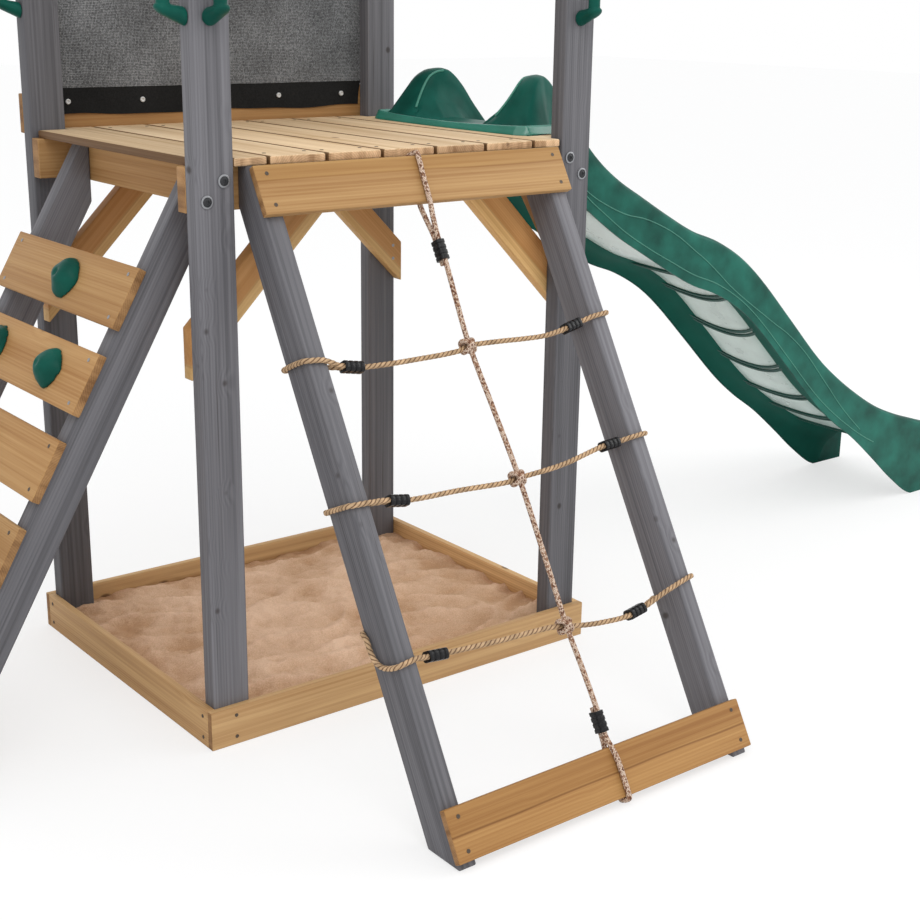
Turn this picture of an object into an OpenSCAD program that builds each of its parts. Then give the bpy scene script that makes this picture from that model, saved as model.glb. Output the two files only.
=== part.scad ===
// Wooden climbing frame: a four-post tower with a raised deck, a sandpit at its feet, a rope net
// at the front, a wavy slide on the right, a climbing wall on the left and a mesh guard at the back.
// Millimetres, +Z up, origin on the ground under the middle of the tower, front towards -Y.

/* [Tower] */
// Width of the tower over its posts
tower_w = 1090; // [900:10:1300]
// Depth of the tower over its posts
tower_d = 870; // [780:10:1100]
// Width of a post, left to right
post_w = 90; // [70:1:100]
// Depth of a post, front to back
post_d = 45; // [35:1:60]
// Height of the posts
post_h = 2050; // [1980:10:2300]

/* [Deck] */
// Height of the deck's top face
deck_top = 1320; // [1250:5:1390]
// Thickness of the deck planks
plank_t = 18; // [14:1:25]
// Distance from plank to plank
plank_pitch = 147; // [135:1:150]
// Gap between planks
plank_gap = 6; // [3:0.5:10]
// How far the plank ends stand back from the posts' outer faces
deck_setback = 6; // [2:1:20]
// How far the deck's side edges stand back from the posts' outer faces
deck_side_setback = 16; // [5:1:30]
// Clearance of the plank notches round the posts
notch_gap = 3; // [1:0.5:6]

/* [Beams and braces] */
// Height of the deck beams
beam_h = 95; // [80:1:110]
// Thickness of the deck beams
beam_t = 36; // [28:1:45]
// Width of the knee braces
brace_w = 80; // [60:1:95]
// Thickness of the knee braces
brace_t = 36; // [25:1:36]
// Height of the braces' lower tips
brace_foot_z = 848; // [700:1:900]
// Slope of the short braces under the right side beam
side_brace_angle = 51; // [48:0.5:56]
// Distance from a short brace's lower tip up to the side beam
side_brace_drop = 168; // [150:1:172]

/* [Sandpit] */
// Height of the sandpit boards
pit_board_h = 93; // [80:1:130]
// Thickness of the sandpit boards
pit_board_t = 19; // [15:1:25]
// Height of the sand at the boards
sand_edge_h = 52; // [30:1:70]
// Rise of the sand in the middle
sand_crown = 26; // [10:1:40]
// Clearance of the sand round the posts
sand_gap = 0.5; // [0.3:0.1:2]

/* [Rope net] */
// Slope of the net's legs
net_angle = 60.5; // [57:0.5:64]
// How far the legs' front faces meet the ground in front of the posts
net_reach = 745; // [720:5:770]
// Width of a leg, left to right
net_leg_w = 45; // [35:1:55]
// Depth of a leg, square to the slope
net_leg_d = 90; // [80:1:95]
// Gap from a post's inner side to the leg beside it
net_leg_gap = 38; // [34:0.5:46]
// How far the net's middle stands to the right of the tower's
net_shift = -4; // [-6:0.5:4]
// How far the top and bottom boards run past the legs
net_board_overhang = 5.5; // [0:0.5:12]
// Width of the top and bottom boards
net_board_w = 110; // [95:1:115]
// Thickness of the top and bottom boards
net_board_t = 19; // [15:1:21]
// Slope distance from the ground to the bottom board
net_board_foot = 14; // [13:0.5:18]
// Slope distance from the bottom board to the top board, lower edge to lower edge
net_board_rise = 1367; // [1355:1:1370]

/* [Ropes] */
// Diameter of the ropes
rope_d = 12; // [10:0.5:12.2]
// Length of a rope clamp
clamp_len = 46; // [40:1:52]
// Width of a rope clamp across its two strands
clamp_w = 31; // [30:0.5:36]
// Thickness of a rope clamp
clamp_t = 24; // [21:0.5:28]
// Depth of the grooves between a clamp's ribs
clamp_groove = 1.5; // [1:0.5:2]
// Number of ribs on a clamp
clamp_ribs = 4; // [3:1:5]
// Corner radius of a clamp's ribs
clamp_r = 9; // [7:0.5:10]
// Thickness of a knot's turns
knot_turn_d = 9; // [7:0.5:10]
// Radius of a knot's turns
knot_r = 19.3; // [19:0.1:21]

/* [Climbing wall] */
// Slope of the wall's rails
wall_angle = 59.8; // [57:0.2:62]
// Thickness of a rail, front to back
wall_rail_w = 45; // [35:1:55]
// Depth of a rail, square to the slope
wall_rail_d = 90; // [80:1:95]
// Distance from the tower's front or back face to a rail
wall_rail_inset = 130; // [100:1:150]
// How far inside the posts' outer faces the rails' upper faces meet the deck
wall_top_inset = 71; // [60:1:80]
// Width of a wall plank
wall_plank_w = 140; // [100:1:150]
// Thickness of a wall plank
wall_plank_t = 20; // [15:1:25]
// Slope distance from plank to plank
wall_plank_pitch = 200; // [180:1:205]
// Slope distance from the ground to the lowest plank
wall_plank_foot = 110; // [40:5:150]
// How far the planks run past the rails
wall_plank_overhang = 10; // [0:1:25]
// Radius of a climbing hold's base
hold_r = 48; // [35:1:60]
// Height of a climbing hold
hold_h = 38; // [25:1:45]

/* [Slide] */
// Width over the slide's side walls
slide_w = 440; // [380:5:500]
// Thickness of a side wall with its rolled rim
slide_wall_t = 46; // [34:1:56]
// Rise of the rims above the bed
slide_rise = 105; // [80:1:140]
// Depth of the skirts under the bed
slide_skirt = 52; // [35:1:60]
// Thickness of the bed
slide_bed_t = 12; // [8:0.5:14]
// Length on the ground from the tower to the slide's end
slide_run = 1950; // [1700:10:2300]
// Width of the entry lip
slide_lip_w = 660; // [600:5:690]
// Length of the entry lip on the deck
slide_lip_len = 138; // [126:1:145]
// How far the middle of the lip's front edge stands out before its ends
slide_lip_bow = 12; // [6:1:20]
// Length of the side walls on the deck
slide_wall_lead = 110; // [90:1:114]
// Corner radius of the entry lip
slide_lip_r = 34; // [24:1:60]

/* [Mesh guard] */
// Height of the guard rail boards
guard_rail_h = 95; // [80:1:120]
// Thickness of the guard rail boards
guard_rail_t = 20; // [15:1:25]
// How far the upper rail stops below the post tops
guard_top_gap = 20; // [0:1:40]
// How far the lower rail reaches below the deck's top face
guard_rail_drop = 10; // [0:1:40]
// Height of the hem above the deck
hem_lift = 30; // [15:1:45]
// Height of a hem
hem_h = 66; // [40:1:80]
// Thickness of a hem
hem_t = 4; // [2:0.5:6]
// Thickness of the mesh
mesh_t = 2; // [1:0.5:3]
// Gap from the mesh to the posts
mesh_side_gap = 1; // [0.5:0.5:3]
// Gap from the hems to the posts
hem_side_gap = 8; // [5:1:15]
// Diameter of a hem button
button_d = 16; // [12:0.5:22]
// Height of a hem button
button_h = 5; // [3:0.5:8]
// Distance from button to button
button_pitch = 204; // [150:1:210]
// Distance from the tower's right face to the first button
button_first = 156; // [140:1:180]

/* [Hand grips] */
// Height of the grips' lower ends above the deck
grip_lift = 262; // [200:1:300]
// Length of a grip
grip_len = 250; // [200:5:300]
// Distance from the post to the middle of the bar
grip_reach = 46; // [40:1:60]
// Diameter of the bar
grip_bar_d = 28; // [24:1:32]
// Diameter of the feet
grip_foot_d = 38; // [32:1:42]

/* [Fasteners] */
// Outer diameter of a bolt washer
washer_d = 28; // [22:0.5:30]
// Thickness of a bolt washer
washer_t = 2.5; // [1.5:0.1:4]
// Hole of a bolt washer
washer_bore = 20; // [16:0.5:21]
// Diameter of a bolt head
bolt_head_d = 19.6; // [14:0.1:20]
// Height of a bolt head
bolt_head_h = 2; // [1:0.1:3.5]
// Half the distance between a post's two bolts, across and up
bolt_offset = 20.5; // [16:0.5:22]
// Diameter of a screw head
screw_d = 9; // [7:0.5:10]
// Height of a screw head above the wood
screw_h = 0.8; // [0.5:0.1:1.5]
// Distance from a screw to the board's edge
screw_edge = 20; // [15:1:24]

/* [Hidden] */

$fn = 48;
natural = "#c58f52";
pale_wood = "#d9b27a";
stain = "#6b6a70";
green = "#0f5c47";
black = "#222326";
straw = "#b98d5f";
pale_rope = "#c3a184";
zinc = "#b9bcc0";
overrun = 5;
half_w = tower_w / 2;
half_d = tower_d / 2;
deck_under = deck_top - plank_t;
beam_z = deck_under - beam_h;
plank_count = 7;
plank_w = plank_pitch - plank_gap;
guard_lower_z = deck_top - guard_rail_drop;
guard_upper_z = post_h - guard_top_gap - guard_rail_h;

// Points on the net: x across, s up the slope from the ground, off in front of the legs' front faces
net_foot_y = -half_d - net_reach;
net_up = [0, cos(net_angle), sin(net_angle)];
net_out = [0, -sin(net_angle), cos(net_angle)];
function net_point(p) = [p[0], net_foot_y, 0] + p[1] * net_up + p[2] * net_out;
net_board_s = [net_board_foot, net_board_foot + net_board_rise];
net_leg_span = tower_w - 2 * (post_w + net_leg_gap);
net_leg_x = (net_leg_span - net_leg_w) / 2;
net_board_len = net_leg_span + 2 * net_board_overhang;

// Routes of the ropes as [x, s, off], from one clamped end round the leg or board to the other.
// They are written for legs at route_leg_x, and what lies past route_mid keeps to its own leg
route_leg_x = 390;
route_mid = 160;
function fitted(p) = [abs(p[0]) > route_mid ? p[0] + sign(p[0]) * (net_leg_x - route_leg_x) + net_shift
                                            : p[0],
                      p[1], p[2]];
rope_upright_route = [
    [-12, 1235, 2], [-12, 1300, 2], [-15, 1345, -3], [-17, 1378, -6.5], [-17, 1440, -6.5],
    [-16, 1488, -6.5], [-14, 1496, -4], [-10, 1498, 3], [-6, 1498, 16], [-5, 1495, 23],
    [-6, 1488, 25.5], [-9, 1440, 25.5], [-12, 1378, 25.5], [-13, 1345, 20.5], [-12, 1300, 14.5],
    [-12, 1235, 14.5], [-14, 1150, 12.5], [-15, 1048, 10.5], [-3, 890, 10.5], [8, 735, 10.5],
    [11, 560, 10.5], [12, 396, 10.5], [17, 300, 12.5], [20, 214, 14.5], [21, 148, 14.5],
    [23, 118, 22], [25, 90, 25.5], [26, 18, 25.5], [26, 10.5, 23], [26, 7.6, 16],
    [26, 7.6, 4], [26, 9.2, -4], [26, 17, -6.5], [25, 90, -6.5], [23, 122, -3], [21, 148, 2],
    [20, 214, 2]
];
rope_upper_route = [
    [-275, 1036, -15.5], [-337, 1047, -15.5], [-352, 1054, -30], [-360, 1062, -52],
    [-361, 1070, -86], [-366, 1074, -94.5], [-374, 1076, -96.5], [-406, 1077, -96.5],
    [-414, 1077, -95], [-419, 1077, -88], [-419, 1074, -45], [-419, 1068, -3], [-416, 1066, 4],
    [-408, 1065, 6.5], [-380, 1062, 6.5], [-361, 1056, 3], [-337, 1047, -3], [-275, 1036, -3],
    [-128, 1035, -3], [-38, 1038, -3], [-15, 1044, -3], [12, 1047, -3], [94, 1045, -3],
    [150, 1042.5, -3], [217, 1042, -3], [277, 1050, -3], [336, 1062, -3], [352, 1065, 3],
    [371, 1068, 6.5], [404, 1071, 6.5], [414, 1072.5, 4], [419, 1073, -4], [419, 1075, -45],
    [419, 1076, -86], [416, 1076, -94], [406, 1075, -96.5], [376, 1072, -96.5],
    [364, 1070, -93], [361, 1068, -82], [357, 1065.5, -45], [348, 1063.5, -22], [336, 1062, -15.5],
    [277, 1050, -15.5]
];
rope_middle_route = [
    [-264, 741, -15.5], [-324, 751, -15.5], [-345, 754, -24], [-358, 757, -45],
    [-361, 761, -86], [-366, 762, -95], [-374, 763, -96.5], [-406, 764, -96.5],
    [-414, 764, -95], [-419, 764, -88], [-419, 760, -45], [-419, 756, -3], [-416, 755, 4],
    [-408, 754, 6.5], [-374, 753, 6.5], [-360, 752.5, 3], [-343, 752.5, -1], [-324, 751, -3],
    [-264, 741, -3], [-150, 737.5, -3], [-18, 731, -3], [8, 734, -3], [150, 742, -3],
    [275, 762, -3], [340, 766, -3], [354, 767, 3],
    [371, 768, 6.5], [404, 770, 6.5], [414, 770, 4], [419, 771, -4], [419, 772, -45],
    [419, 772, -86], [416, 772, -94], [406, 772, -96.5], [376, 770, -96.5],
    [364, 770, -93], [361, 769, -82], [358, 768, -45], [350, 767, -22], [340, 766, -15.5],
    [275, 762, -15.5]
];
rope_lower_route = [
    [-283, 416, -15.5], [-343, 421, -15.5], [-356, 428, -32], [-361, 440, -55],
    [-361, 462, -84], [-366, 478, -94], [-376, 490, -96.5], [-402, 502, -96.5],
    [-412, 505, -95], [-418, 501, -86], [-420, 488, -76], [-421.5, 465, -72], [-421.5, 442, -64],
    [-420.5, 427, -48], [-419, 420, -25], [-418, 418, -4], [-415, 418, 4], [-408, 419, 6.5],
    [-374, 423, 6.5], [-360, 423, 3], [-343, 421, -3], [-283, 416, -3],
    [-150, 408, -3], [-30, 404, -3], [12, 398, -3], [62, 388, -3], [120, 380.5, -3],
    [199, 376.5, -3], [258, 385.5, -3], [310, 400, 2],
    [362, 412, 6.5], [404, 420, 6.5], [414, 421, 4], [419, 420, -4], [419, 414, -45],
    [419, 408, -86], [416, 406, -94], [406, 402, -96.5], [376, 397.5, -96.5],
    [364, 396.5, -93], [360, 396, -82], [345, 394.5, -68], [300, 392, -36], [258, 385.5, -15.5],
    [199, 376.5, -15.5]
];
// Knots where the upright rope crosses the others, as [x, s, off], in the routes' own numbers
knot_places = [[-15, 1044, 3.75], [8, 734, 3.75], [12, 398, 3.75]];
// Clamps as [start point, end point] between their two strands, in the routes' own numbers
clamp_places = [
    [[-12, 1236, 8.25], [-12, 1299, 8.25]], [[21, 149, 8.25], [20, 213, 8.25]],
    [[-336, 1047, -9.25], [-276, 1036, -9.25]], [[277, 1050, -9.25], [336, 1062, -9.25]],
    [[-324, 751, -9.25], [-264, 741, -9.25]], [[276, 762, -9.25], [339, 766, -9.25]],
    [[-342, 421, -9.25], [-283, 416, -9.25]], [[199, 376.5, -9.25], [258, 385.5, -9.25]]
];
rope_sides = 8;
knot_turn = 43;
strand_gap = 0.5;
clamp_gap_share = 0.55;

// Tubes swept along a route, with a ring of points square to the route at each point
function unit(v) = v / norm(v);
function clamped(i, n) = min(max(i, 0), n - 1);
function route_dir(pts, i) = unit(pts[clamped(i + 1, len(pts))] - pts[clamped(i - 1, len(pts))]);
function ring(pts, i, r, side) =
    let (t = route_dir(pts, i), a = unit(cross(side, t)), b = cross(t, a))
    [for (k = [0:rope_sides - 1])
        pts[i] + r * (cos(360 * k / rope_sides) * a + sin(360 * k / rope_sides) * b)];
module tube(pts, d, side) {
    n = len(pts);
    m = rope_sides;
    rings = [for (i = [0:n - 1]) each ring(pts, i, d / 2, side)];
    walls = [for (i = [0:n - 2]) for (k = [0:m - 1]) let (j = (k + 1) % m)
        each [[i * m + k, (i + 1) * m + k, i * m + j], [i * m + j, (i + 1) * m + k, (i + 1) * m + j]]];
    first = [for (k = [1:m - 2]) [0, k, k + 1]];
    last = [for (k = [1:m - 2]) [(n - 1) * m, (n - 1) * m + k + 1, (n - 1) * m + k]];
    polyhedron(points = rings, faces = concat(walls, first, last));
}

// Slide: rows of [share of the run, bed height as a share of the deck's, rim rise as a share,
// skirt depth as a share], smoothed into curves
slide_shares = [
    [-0.060, 1.000, 0.08, 0], [-0.045, 1.000, 0.24, 0], [-0.030, 1.000, 0.63, 0],
    [-0.015, 1.000, 0.93, 0], [0.000, 1.000, 1.12, 0], [0.020, 1.000, 1.23, 0.4],
    [0.040, 0.983, 1.18, 1], [0.060, 0.950, 1.13, 1], [0.080, 0.914, 1.16, 1],
    [0.105, 0.875, 1.12, 1], [0.135, 0.842, 1.03, 1], [0.170, 0.808, 1.00, 1],
    [0.210, 0.775, 1.00, 1], [0.265, 0.730, 1.00, 1], [0.320, 0.689, 1.00, 1],
    [0.375, 0.660, 1.00, 1], [0.430, 0.617, 1.00, 1], [0.480, 0.560, 1.00, 1],
    [0.550, 0.463, 1.00, 1], [0.625, 0.358, 1.00, 1], [0.680, 0.294, 1.00, 1],
    [0.740, 0.236, 1.00, 1], [0.800, 0.187, 1.00, 1.5], [0.860, 0.151, 1.00, 2.4],
    [0.920, 0.127, 0.95, 4], [0.970, 0.116, 0.80, 4], [1.000, 0.113, 0.55, 4]
];
slide_steps = 3;
function blend_rows(a, b, c, d, t) =
    0.5 * (2 * b + (c - a) * t + (2 * a - 5 * b + 4 * c - d) * t * t
        + (3 * b - a - 3 * c + d) * t * t * t);
slide_rows = [
    for (i = [0:len(slide_shares) - 2]) for (k = [0:slide_steps - 1])
        let (n = len(slide_shares), s = slide_shares)
        blend_rows(s[clamped(i - 1, n)], s[i], s[i + 1], s[clamped(i + 2, n)], k / slide_steps),
    slide_shares[len(slide_shares) - 1]
];
function slide_x(row) = row[0] < 0 ? row[0] * slide_wall_lead / -slide_shares[0][0]
                                   : row[0] * slide_run;
// The bed lies on the deck at first, and sinks by its own thickness over the brow
slide_brow_share = 0.04;
function slide_bed_z(row) = row[1] * deck_top
    + slide_bed_t * min(1, max(0, 1 - row[0] / slide_brow_share));
function slide_rim_z(row) = slide_bed_z(row) + row[2] * slide_rise;
function slide_low_z(row) = row[0] <= 0 ? deck_top
                          : max(0, min(slide_bed_z(row) - slide_bed_t,
                                       slide_bed_z(row) - row[3] * slide_skirt));

// Climbing wall: points as [y, s, off], with s up the slope and off above the rails' upper faces
wall_top_x = -half_w + wall_top_inset;
wall_foot_x = wall_top_x - deck_under / tan(wall_angle);
hold_shares = [[-0.28, 1], [0.25, 1], [-0.02, 2], [-0.30, 3], [0.30, 3], [0.04, 4], [-0.22, 5],
               [0.26, 5], [-0.05, 6]];

module placed_box(low, high) {
    translate(low) cube(high - low);
}

module post(side_x, side_y) {
    color(stain)
    placed_box([side_x * (half_w - post_w / 2) - post_w / 2, side_y * (half_d - post_d / 2) - post_d / 2, 0],
               [side_x * (half_w - post_w / 2) + post_w / 2, side_y * (half_d - post_d / 2) + post_d / 2,
                post_h]);
}
module post_front_left() { post(-1, -1); }
module post_front_right() { post(1, -1); }
module post_back_left() { post(-1, 1); }
module post_back_right() { post(1, 1); }

// Beams on the posts' inner faces, under the plank ends
module cross_beam(side_y) {
    inner = half_d - post_d - beam_t;
    color(natural)
    placed_box([-half_w, side_y < 0 ? -inner - beam_t : inner, beam_z],
               [half_w, side_y < 0 ? -inner : inner + beam_t, deck_under]);
}
module beam_front() { cross_beam(-1); }
module beam_back() { cross_beam(1); }

// Beams between the front and back beams, in line with the posts' inner sides
module side_beam(x) {
    color(natural)
    placed_box([x, -(half_d - post_d - beam_t), beam_z], [x + beam_t, half_d - post_d - beam_t, deck_under]);
}
module beam_left() { side_beam(-half_w + post_w); }
module beam_right() { side_beam(half_w - post_w - beam_t); }

function plank_left(i) = i == 1 ? -half_w + deck_side_setback
                                : (i - 1 - plank_count / 2) * plank_pitch + plank_gap / 2;
function plank_right(i) = i == plank_count ? half_w - deck_side_setback
                                           : (i - plank_count / 2) * plank_pitch - plank_gap / 2;
module deck_plank(i) {
    color(pale_wood)
    difference() {
        placed_box([plank_left(i), -half_d + deck_setback, deck_under],
                   [plank_right(i), half_d - deck_setback, deck_top]);
        for (x = [-1, 1]) for (y = [-1, 1])
            translate([x * (half_w - (post_w + notch_gap) / 2), y * (half_d - (post_d + notch_gap) / 2),
                       deck_top])
            cube([post_w + notch_gap, post_d + notch_gap, 2 * plank_t + overrun], center = true);
    }
}
module deck_plank_1() { deck_plank(1); }
module deck_plank_2() { deck_plank(2); }
module deck_plank_3() { deck_plank(3); }
module deck_plank_4() { deck_plank(4); }
module deck_plank_5() { deck_plank(5); }
module deck_plank_6() { deck_plank(6); }
module deck_plank_7() { deck_plank(7); }

// A knee brace at 45 degrees: plumb at its foot, level at its top
brace_drop = beam_z - brace_foot_z;
brace_plumb = brace_w * sqrt(2);
module brace_outline() {
    polygon([[0, brace_foot_z], [brace_drop, beam_z], [brace_drop - brace_plumb, beam_z],
             [0, brace_foot_z + brace_plumb]]);
}
module brace(side_x, side_y) {
    inner = half_d - post_d - brace_t;
    color(natural)
    translate([0, side_y < 0 ? -inner : inner + brace_t, 0])
    mirror([side_x > 0 ? 1 : 0, 0, 0])
    translate([-half_w, 0, 0])
    rotate([90, 0, 0]) linear_extrude(brace_t) brace_outline();
}
module brace_front_left() { brace(-1, -1); }
module brace_front_right() { brace(1, -1); }
module brace_back_left() { brace(-1, 1); }
module brace_back_right() { brace(1, 1); }

// Short braces on the right posts' inner sides, under the side beam
side_brace_plumb = brace_w / cos(side_brace_angle);
module side_brace_outline() {
    polygon([[0, beam_z - side_brace_drop], [side_brace_drop / tan(side_brace_angle), beam_z],
             [(side_brace_drop - side_brace_plumb) / tan(side_brace_angle), beam_z],
             [0, beam_z - side_brace_drop + side_brace_plumb]]);
}
module side_brace(side_y) {
    color(natural)
    mirror([1, 0, 0]) mirror([0, side_y > 0 ? 1 : 0, 0])
    translate([-half_w + post_w, -half_d, 0])
    rotate([90, 0, 90]) linear_extrude(brace_t) side_brace_outline();
}
module side_brace_front_right() { side_brace(-1); }
module side_brace_back_right() { side_brace(1); }

// Sandpit boards round the posts' feet: front and back run over the ends of the other two
module pit_long(side_y) {
    color(natural)
    placed_box([-half_w - pit_board_t, side_y < 0 ? -half_d - pit_board_t : half_d, 0],
               [half_w + pit_board_t, side_y < 0 ? -half_d : half_d + pit_board_t, pit_board_h]);
}
module pit_short(side_x) {
    color(natural)
    placed_box([side_x < 0 ? -half_w - pit_board_t : half_w, -half_d, 0],
               [side_x < 0 ? -half_w : half_w + pit_board_t, half_d, pit_board_h]);
}
module pit_board_front() { pit_long(-1); }
module pit_board_back() { pit_long(1); }
module pit_board_left() { pit_short(-1); }
module pit_board_right() { pit_short(1); }

// Sand: a slab with a low crown both ways, cut out round the posts
sand_steps = 12;
module sand_outline(width) {
    polygon(concat([[width / 2, 0], [-width / 2, 0]],
                   [for (i = [0:sand_steps]) let (t = 2 * i / sand_steps - 1)
                       [t * width / 2, sand_edge_h + sand_crown * (1 - t * t)]]));
}
module sand_fill() {
    color("#c99f78")
    difference() {
        intersection() {
            translate([0, half_d, 0]) rotate([90, 0, 0]) linear_extrude(tower_d) sand_outline(tower_w);
            translate([-half_w, 0, 0]) rotate([90, 0, 90]) linear_extrude(tower_w) sand_outline(tower_d);
        }
        for (x = [-1, 1]) for (y = [-1, 1])
            translate([x * half_w, y * half_d, 0])
            cube([2 * (post_w + sand_gap), 2 * (post_d + sand_gap),
                  2 * (sand_edge_h + sand_crown) + overrun], center = true);
    }
}

// Net legs: cut level under the deck and at the ground, and plumb against the front beam
module net_leg(side_x) {
    long = net_reach + deck_top;
    color(stain)
    intersection() {
        translate([net_shift + side_x * net_leg_x - net_leg_w / 2, net_foot_y, 0])
        rotate([net_angle - 90, 0, 0])
        translate([0, 0, -net_leg_d])
        cube([net_leg_w, net_leg_d, long]);
        placed_box([-half_w, net_foot_y - overrun, 0], [half_w, -half_d + post_d, deck_under]);
    }
}
module net_leg_left() { net_leg(-1); }
module net_leg_right() { net_leg(1); }

// Boards across the front of the legs
module net_board(s) {
    color(natural)
    translate(net_point([net_shift - net_board_len / 2, s, 0]))
    rotate([net_angle - 90, 0, 0])
    translate([0, -net_board_t, 0])
    cube([net_board_len, net_board_t, net_board_w]);
}
module net_board_top() { net_board(net_board_s[1]); }
module net_board_bottom() { net_board(net_board_s[0]); }

module rope(route, side, shade) {
    color(shade) tube([for (p = route) net_point(fitted(p))], rope_d, side);
}
module net_rope_upright() { rope(rope_upright_route, [1, 0, 0], pale_rope); }
module net_rope_upper() { rope(rope_upper_route, net_up, straw); }
module net_rope_middle() { rope(rope_middle_route, net_up, straw); }
module net_rope_lower() { rope(rope_lower_route, net_up, straw); }

// A clamp: a ribbed barrel with a slot for two strands, its length along Z and its width along Y
module clamp_bar(w, t, r, length) {
    translate([-t / 2 + r, -w / 2, 0]) cube([t - 2 * r, w, length]);
    translate([-t / 2, -w / 2 + r, 0]) cube([t, w - 2 * r, length]);
    for (x = [-1, 1]) for (y = [-1, 1])
        translate([x * (t / 2 - r), y * (w / 2 - r), 0]) cylinder(r = r, h = length, $fn = 32);
}
module clamp_block(length) {
    slot_r = rope_d / 2 + strand_gap / 2;
    rib = length / (clamp_ribs + (clamp_ribs - 1) * clamp_gap_share);
    difference() {
        union() {
            clamp_bar(clamp_w - 2 * clamp_groove, clamp_t - 2 * clamp_groove, clamp_r - clamp_groove, length);
            for (i = [0:clamp_ribs - 1])
                translate([0, 0, i * rib * (1 + clamp_gap_share)]) clamp_bar(clamp_w, clamp_t, clamp_r, rib);
        }
        for (side = [-1, 1])
            translate([0, side * (rope_d + strand_gap) / 2, -overrun])
            cylinder(r = slot_r, h = length + 2 * overrun, $fn = 32);
        translate([-slot_r, -(rope_d + strand_gap) / 2, -overrun])
        cube([2 * slot_r, rope_d + strand_gap, length + 2 * overrun]);
    }
}
// A frame whose Z runs along the clamp and whose Y runs out of the net
module along_net(from, to) {
    z = unit(to - from);
    x = unit(cross(net_out, z));
    y = cross(z, x);
    multmatrix([[x[0], y[0], z[0], from[0]], [x[1], y[1], z[1], from[1]],
                [x[2], y[2], z[2], from[2]], [0, 0, 0, 1]])
    children();
}
module rope_clamps() {
    color(black)
    for (c = clamp_places) {
        from = net_point(fitted(c[0]));
        to = net_point(fitted(c[1]));
        middle = (from + to) / 2;
        half = unit(to - from) * clamp_len / 2;
        along_net(middle - half, middle + half) clamp_block(clamp_len);
    }
}

// Each knot is two turns that pass round both ropes, one on each diagonal
module rope_knots() {
    color(pale_rope)
    for (k = knot_places) for (turn = [-knot_turn, knot_turn])
        translate(net_point(k))
        rotate([net_angle - 90, 0, 0]) rotate([0, turn, 0]) rotate([0, 90, 0])
        rotate_extrude($fn = 40) translate([knot_r, 0]) circle(d = knot_turn_d, $fn = 20);
}

// Slide: side walls, bed and entry lip as one moulding
module slide_wall_outline() {
    polygon(concat([for (r = slide_rows) [slide_x(r), slide_rim_z(r)]],
                   [for (i = [len(slide_rows) - 1:-1:0])
                       [slide_x(slide_rows[i]), slide_low_z(slide_rows[i])]]));
}
module slide_bed_outline() {
    polygon(concat([for (r = slide_rows) [slide_x(r), slide_bed_z(r)]],
                   [for (i = [len(slide_rows) - 1:-1:0])
                       [slide_x(slide_rows[i]), slide_bed_z(slide_rows[i]) - slide_bed_t]]));
}
module slide_lip() {
    straight = slide_lip_w / 2 - slide_lip_r;
    bow_r = (slide_lip_w * slide_lip_w / 4 + slide_lip_bow * slide_lip_bow) / (2 * slide_lip_bow);
    translate([-slide_lip_len, 0, deck_top])
    intersection() {
        union() {
            for (y = [-1, 1])
                translate([slide_lip_bow + slide_lip_r, y * straight, 0])
                cylinder(r = slide_lip_r, h = slide_bed_t);
            translate([0, -straight, 0]) cube([slide_lip_len, 2 * straight, slide_bed_t]);
            translate([slide_lip_bow + slide_lip_r, -slide_lip_w / 2, 0])
            cube([slide_lip_len - slide_lip_bow - slide_lip_r, slide_lip_w, slide_bed_t]);
        }
        translate([bow_r, 0, 0]) cylinder(r = bow_r, h = slide_bed_t, $fn = 180);
    }
}
module slide() {
    color(green)
    translate([half_w, 0, 0]) {
        for (y = [-1, 1])
            translate([0, y * (slide_w - slide_wall_t) / 2 + slide_wall_t / 2, 0])
            rotate([90, 0, 0]) linear_extrude(slide_wall_t) slide_wall_outline();
        translate([0, slide_w / 2 - slide_wall_t / 2, 0])
        rotate([90, 0, 0]) linear_extrude(slide_w - slide_wall_t) slide_bed_outline();
        slide_lip();
    }
}

// Climbing wall rails, cut level at the ground and under the deck, and plumb against the left beam
module wall_frame() {
    translate([wall_foot_x, 0, 0]) rotate([0, 90 - wall_angle, 0]) children();
}
module wall_rail(side_y) {
    near = half_d - wall_rail_inset - wall_rail_w;
    long = deck_under + post_h;
    color(stain)
    intersection() {
        wall_frame()
        translate([0, side_y < 0 ? -near - wall_rail_w : near, -wall_rail_d])
        cube([wall_rail_d, wall_rail_w, long]);
        placed_box([wall_foot_x - overrun, -half_d, 0], [-half_w + post_w, half_d, deck_under]);
    }
}
module wall_rail_front() { wall_rail(-1); }
module wall_rail_back() { wall_rail(1); }

wall_plank_half = half_d - wall_rail_inset + wall_plank_overhang;
function wall_plank_s(i) = wall_plank_foot + (i - 1) * wall_plank_pitch;
module wall_plank(i) {
    color(natural)
    wall_frame()
    placed_box([-wall_plank_t, -wall_plank_half, wall_plank_s(i)],
               [0, wall_plank_half, wall_plank_s(i) + wall_plank_w]);
}
module wall_plank_1() { wall_plank(1); }
module wall_plank_2() { wall_plank(2); }
module wall_plank_3() { wall_plank(3); }
module wall_plank_4() { wall_plank(4); }
module wall_plank_5() { wall_plank(5); }
module wall_plank_6() { wall_plank(6); }

// A hold: a low dome on a round base, with a flat for its screw
module hold() {
    dome_r = (hold_r * hold_r + hold_h * hold_h) / (2 * hold_h);
    difference() {
        intersection() {
            translate([0, 0, hold_h - dome_r]) sphere(dome_r);
            cylinder(r = hold_r, h = hold_h);
        }
        translate([0, 0, hold_h - screw_edge / 4]) cylinder(d = screw_edge, h = hold_h);
    }
}
module wall_holds() {
    color(green)
    wall_frame()
    for (h = hold_shares)
        translate([-wall_plank_t, h[0] * 2 * wall_plank_half, wall_plank_s(h[1]) + wall_plank_w / 2])
        rotate([0, -90, 0]) hold();
}

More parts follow.
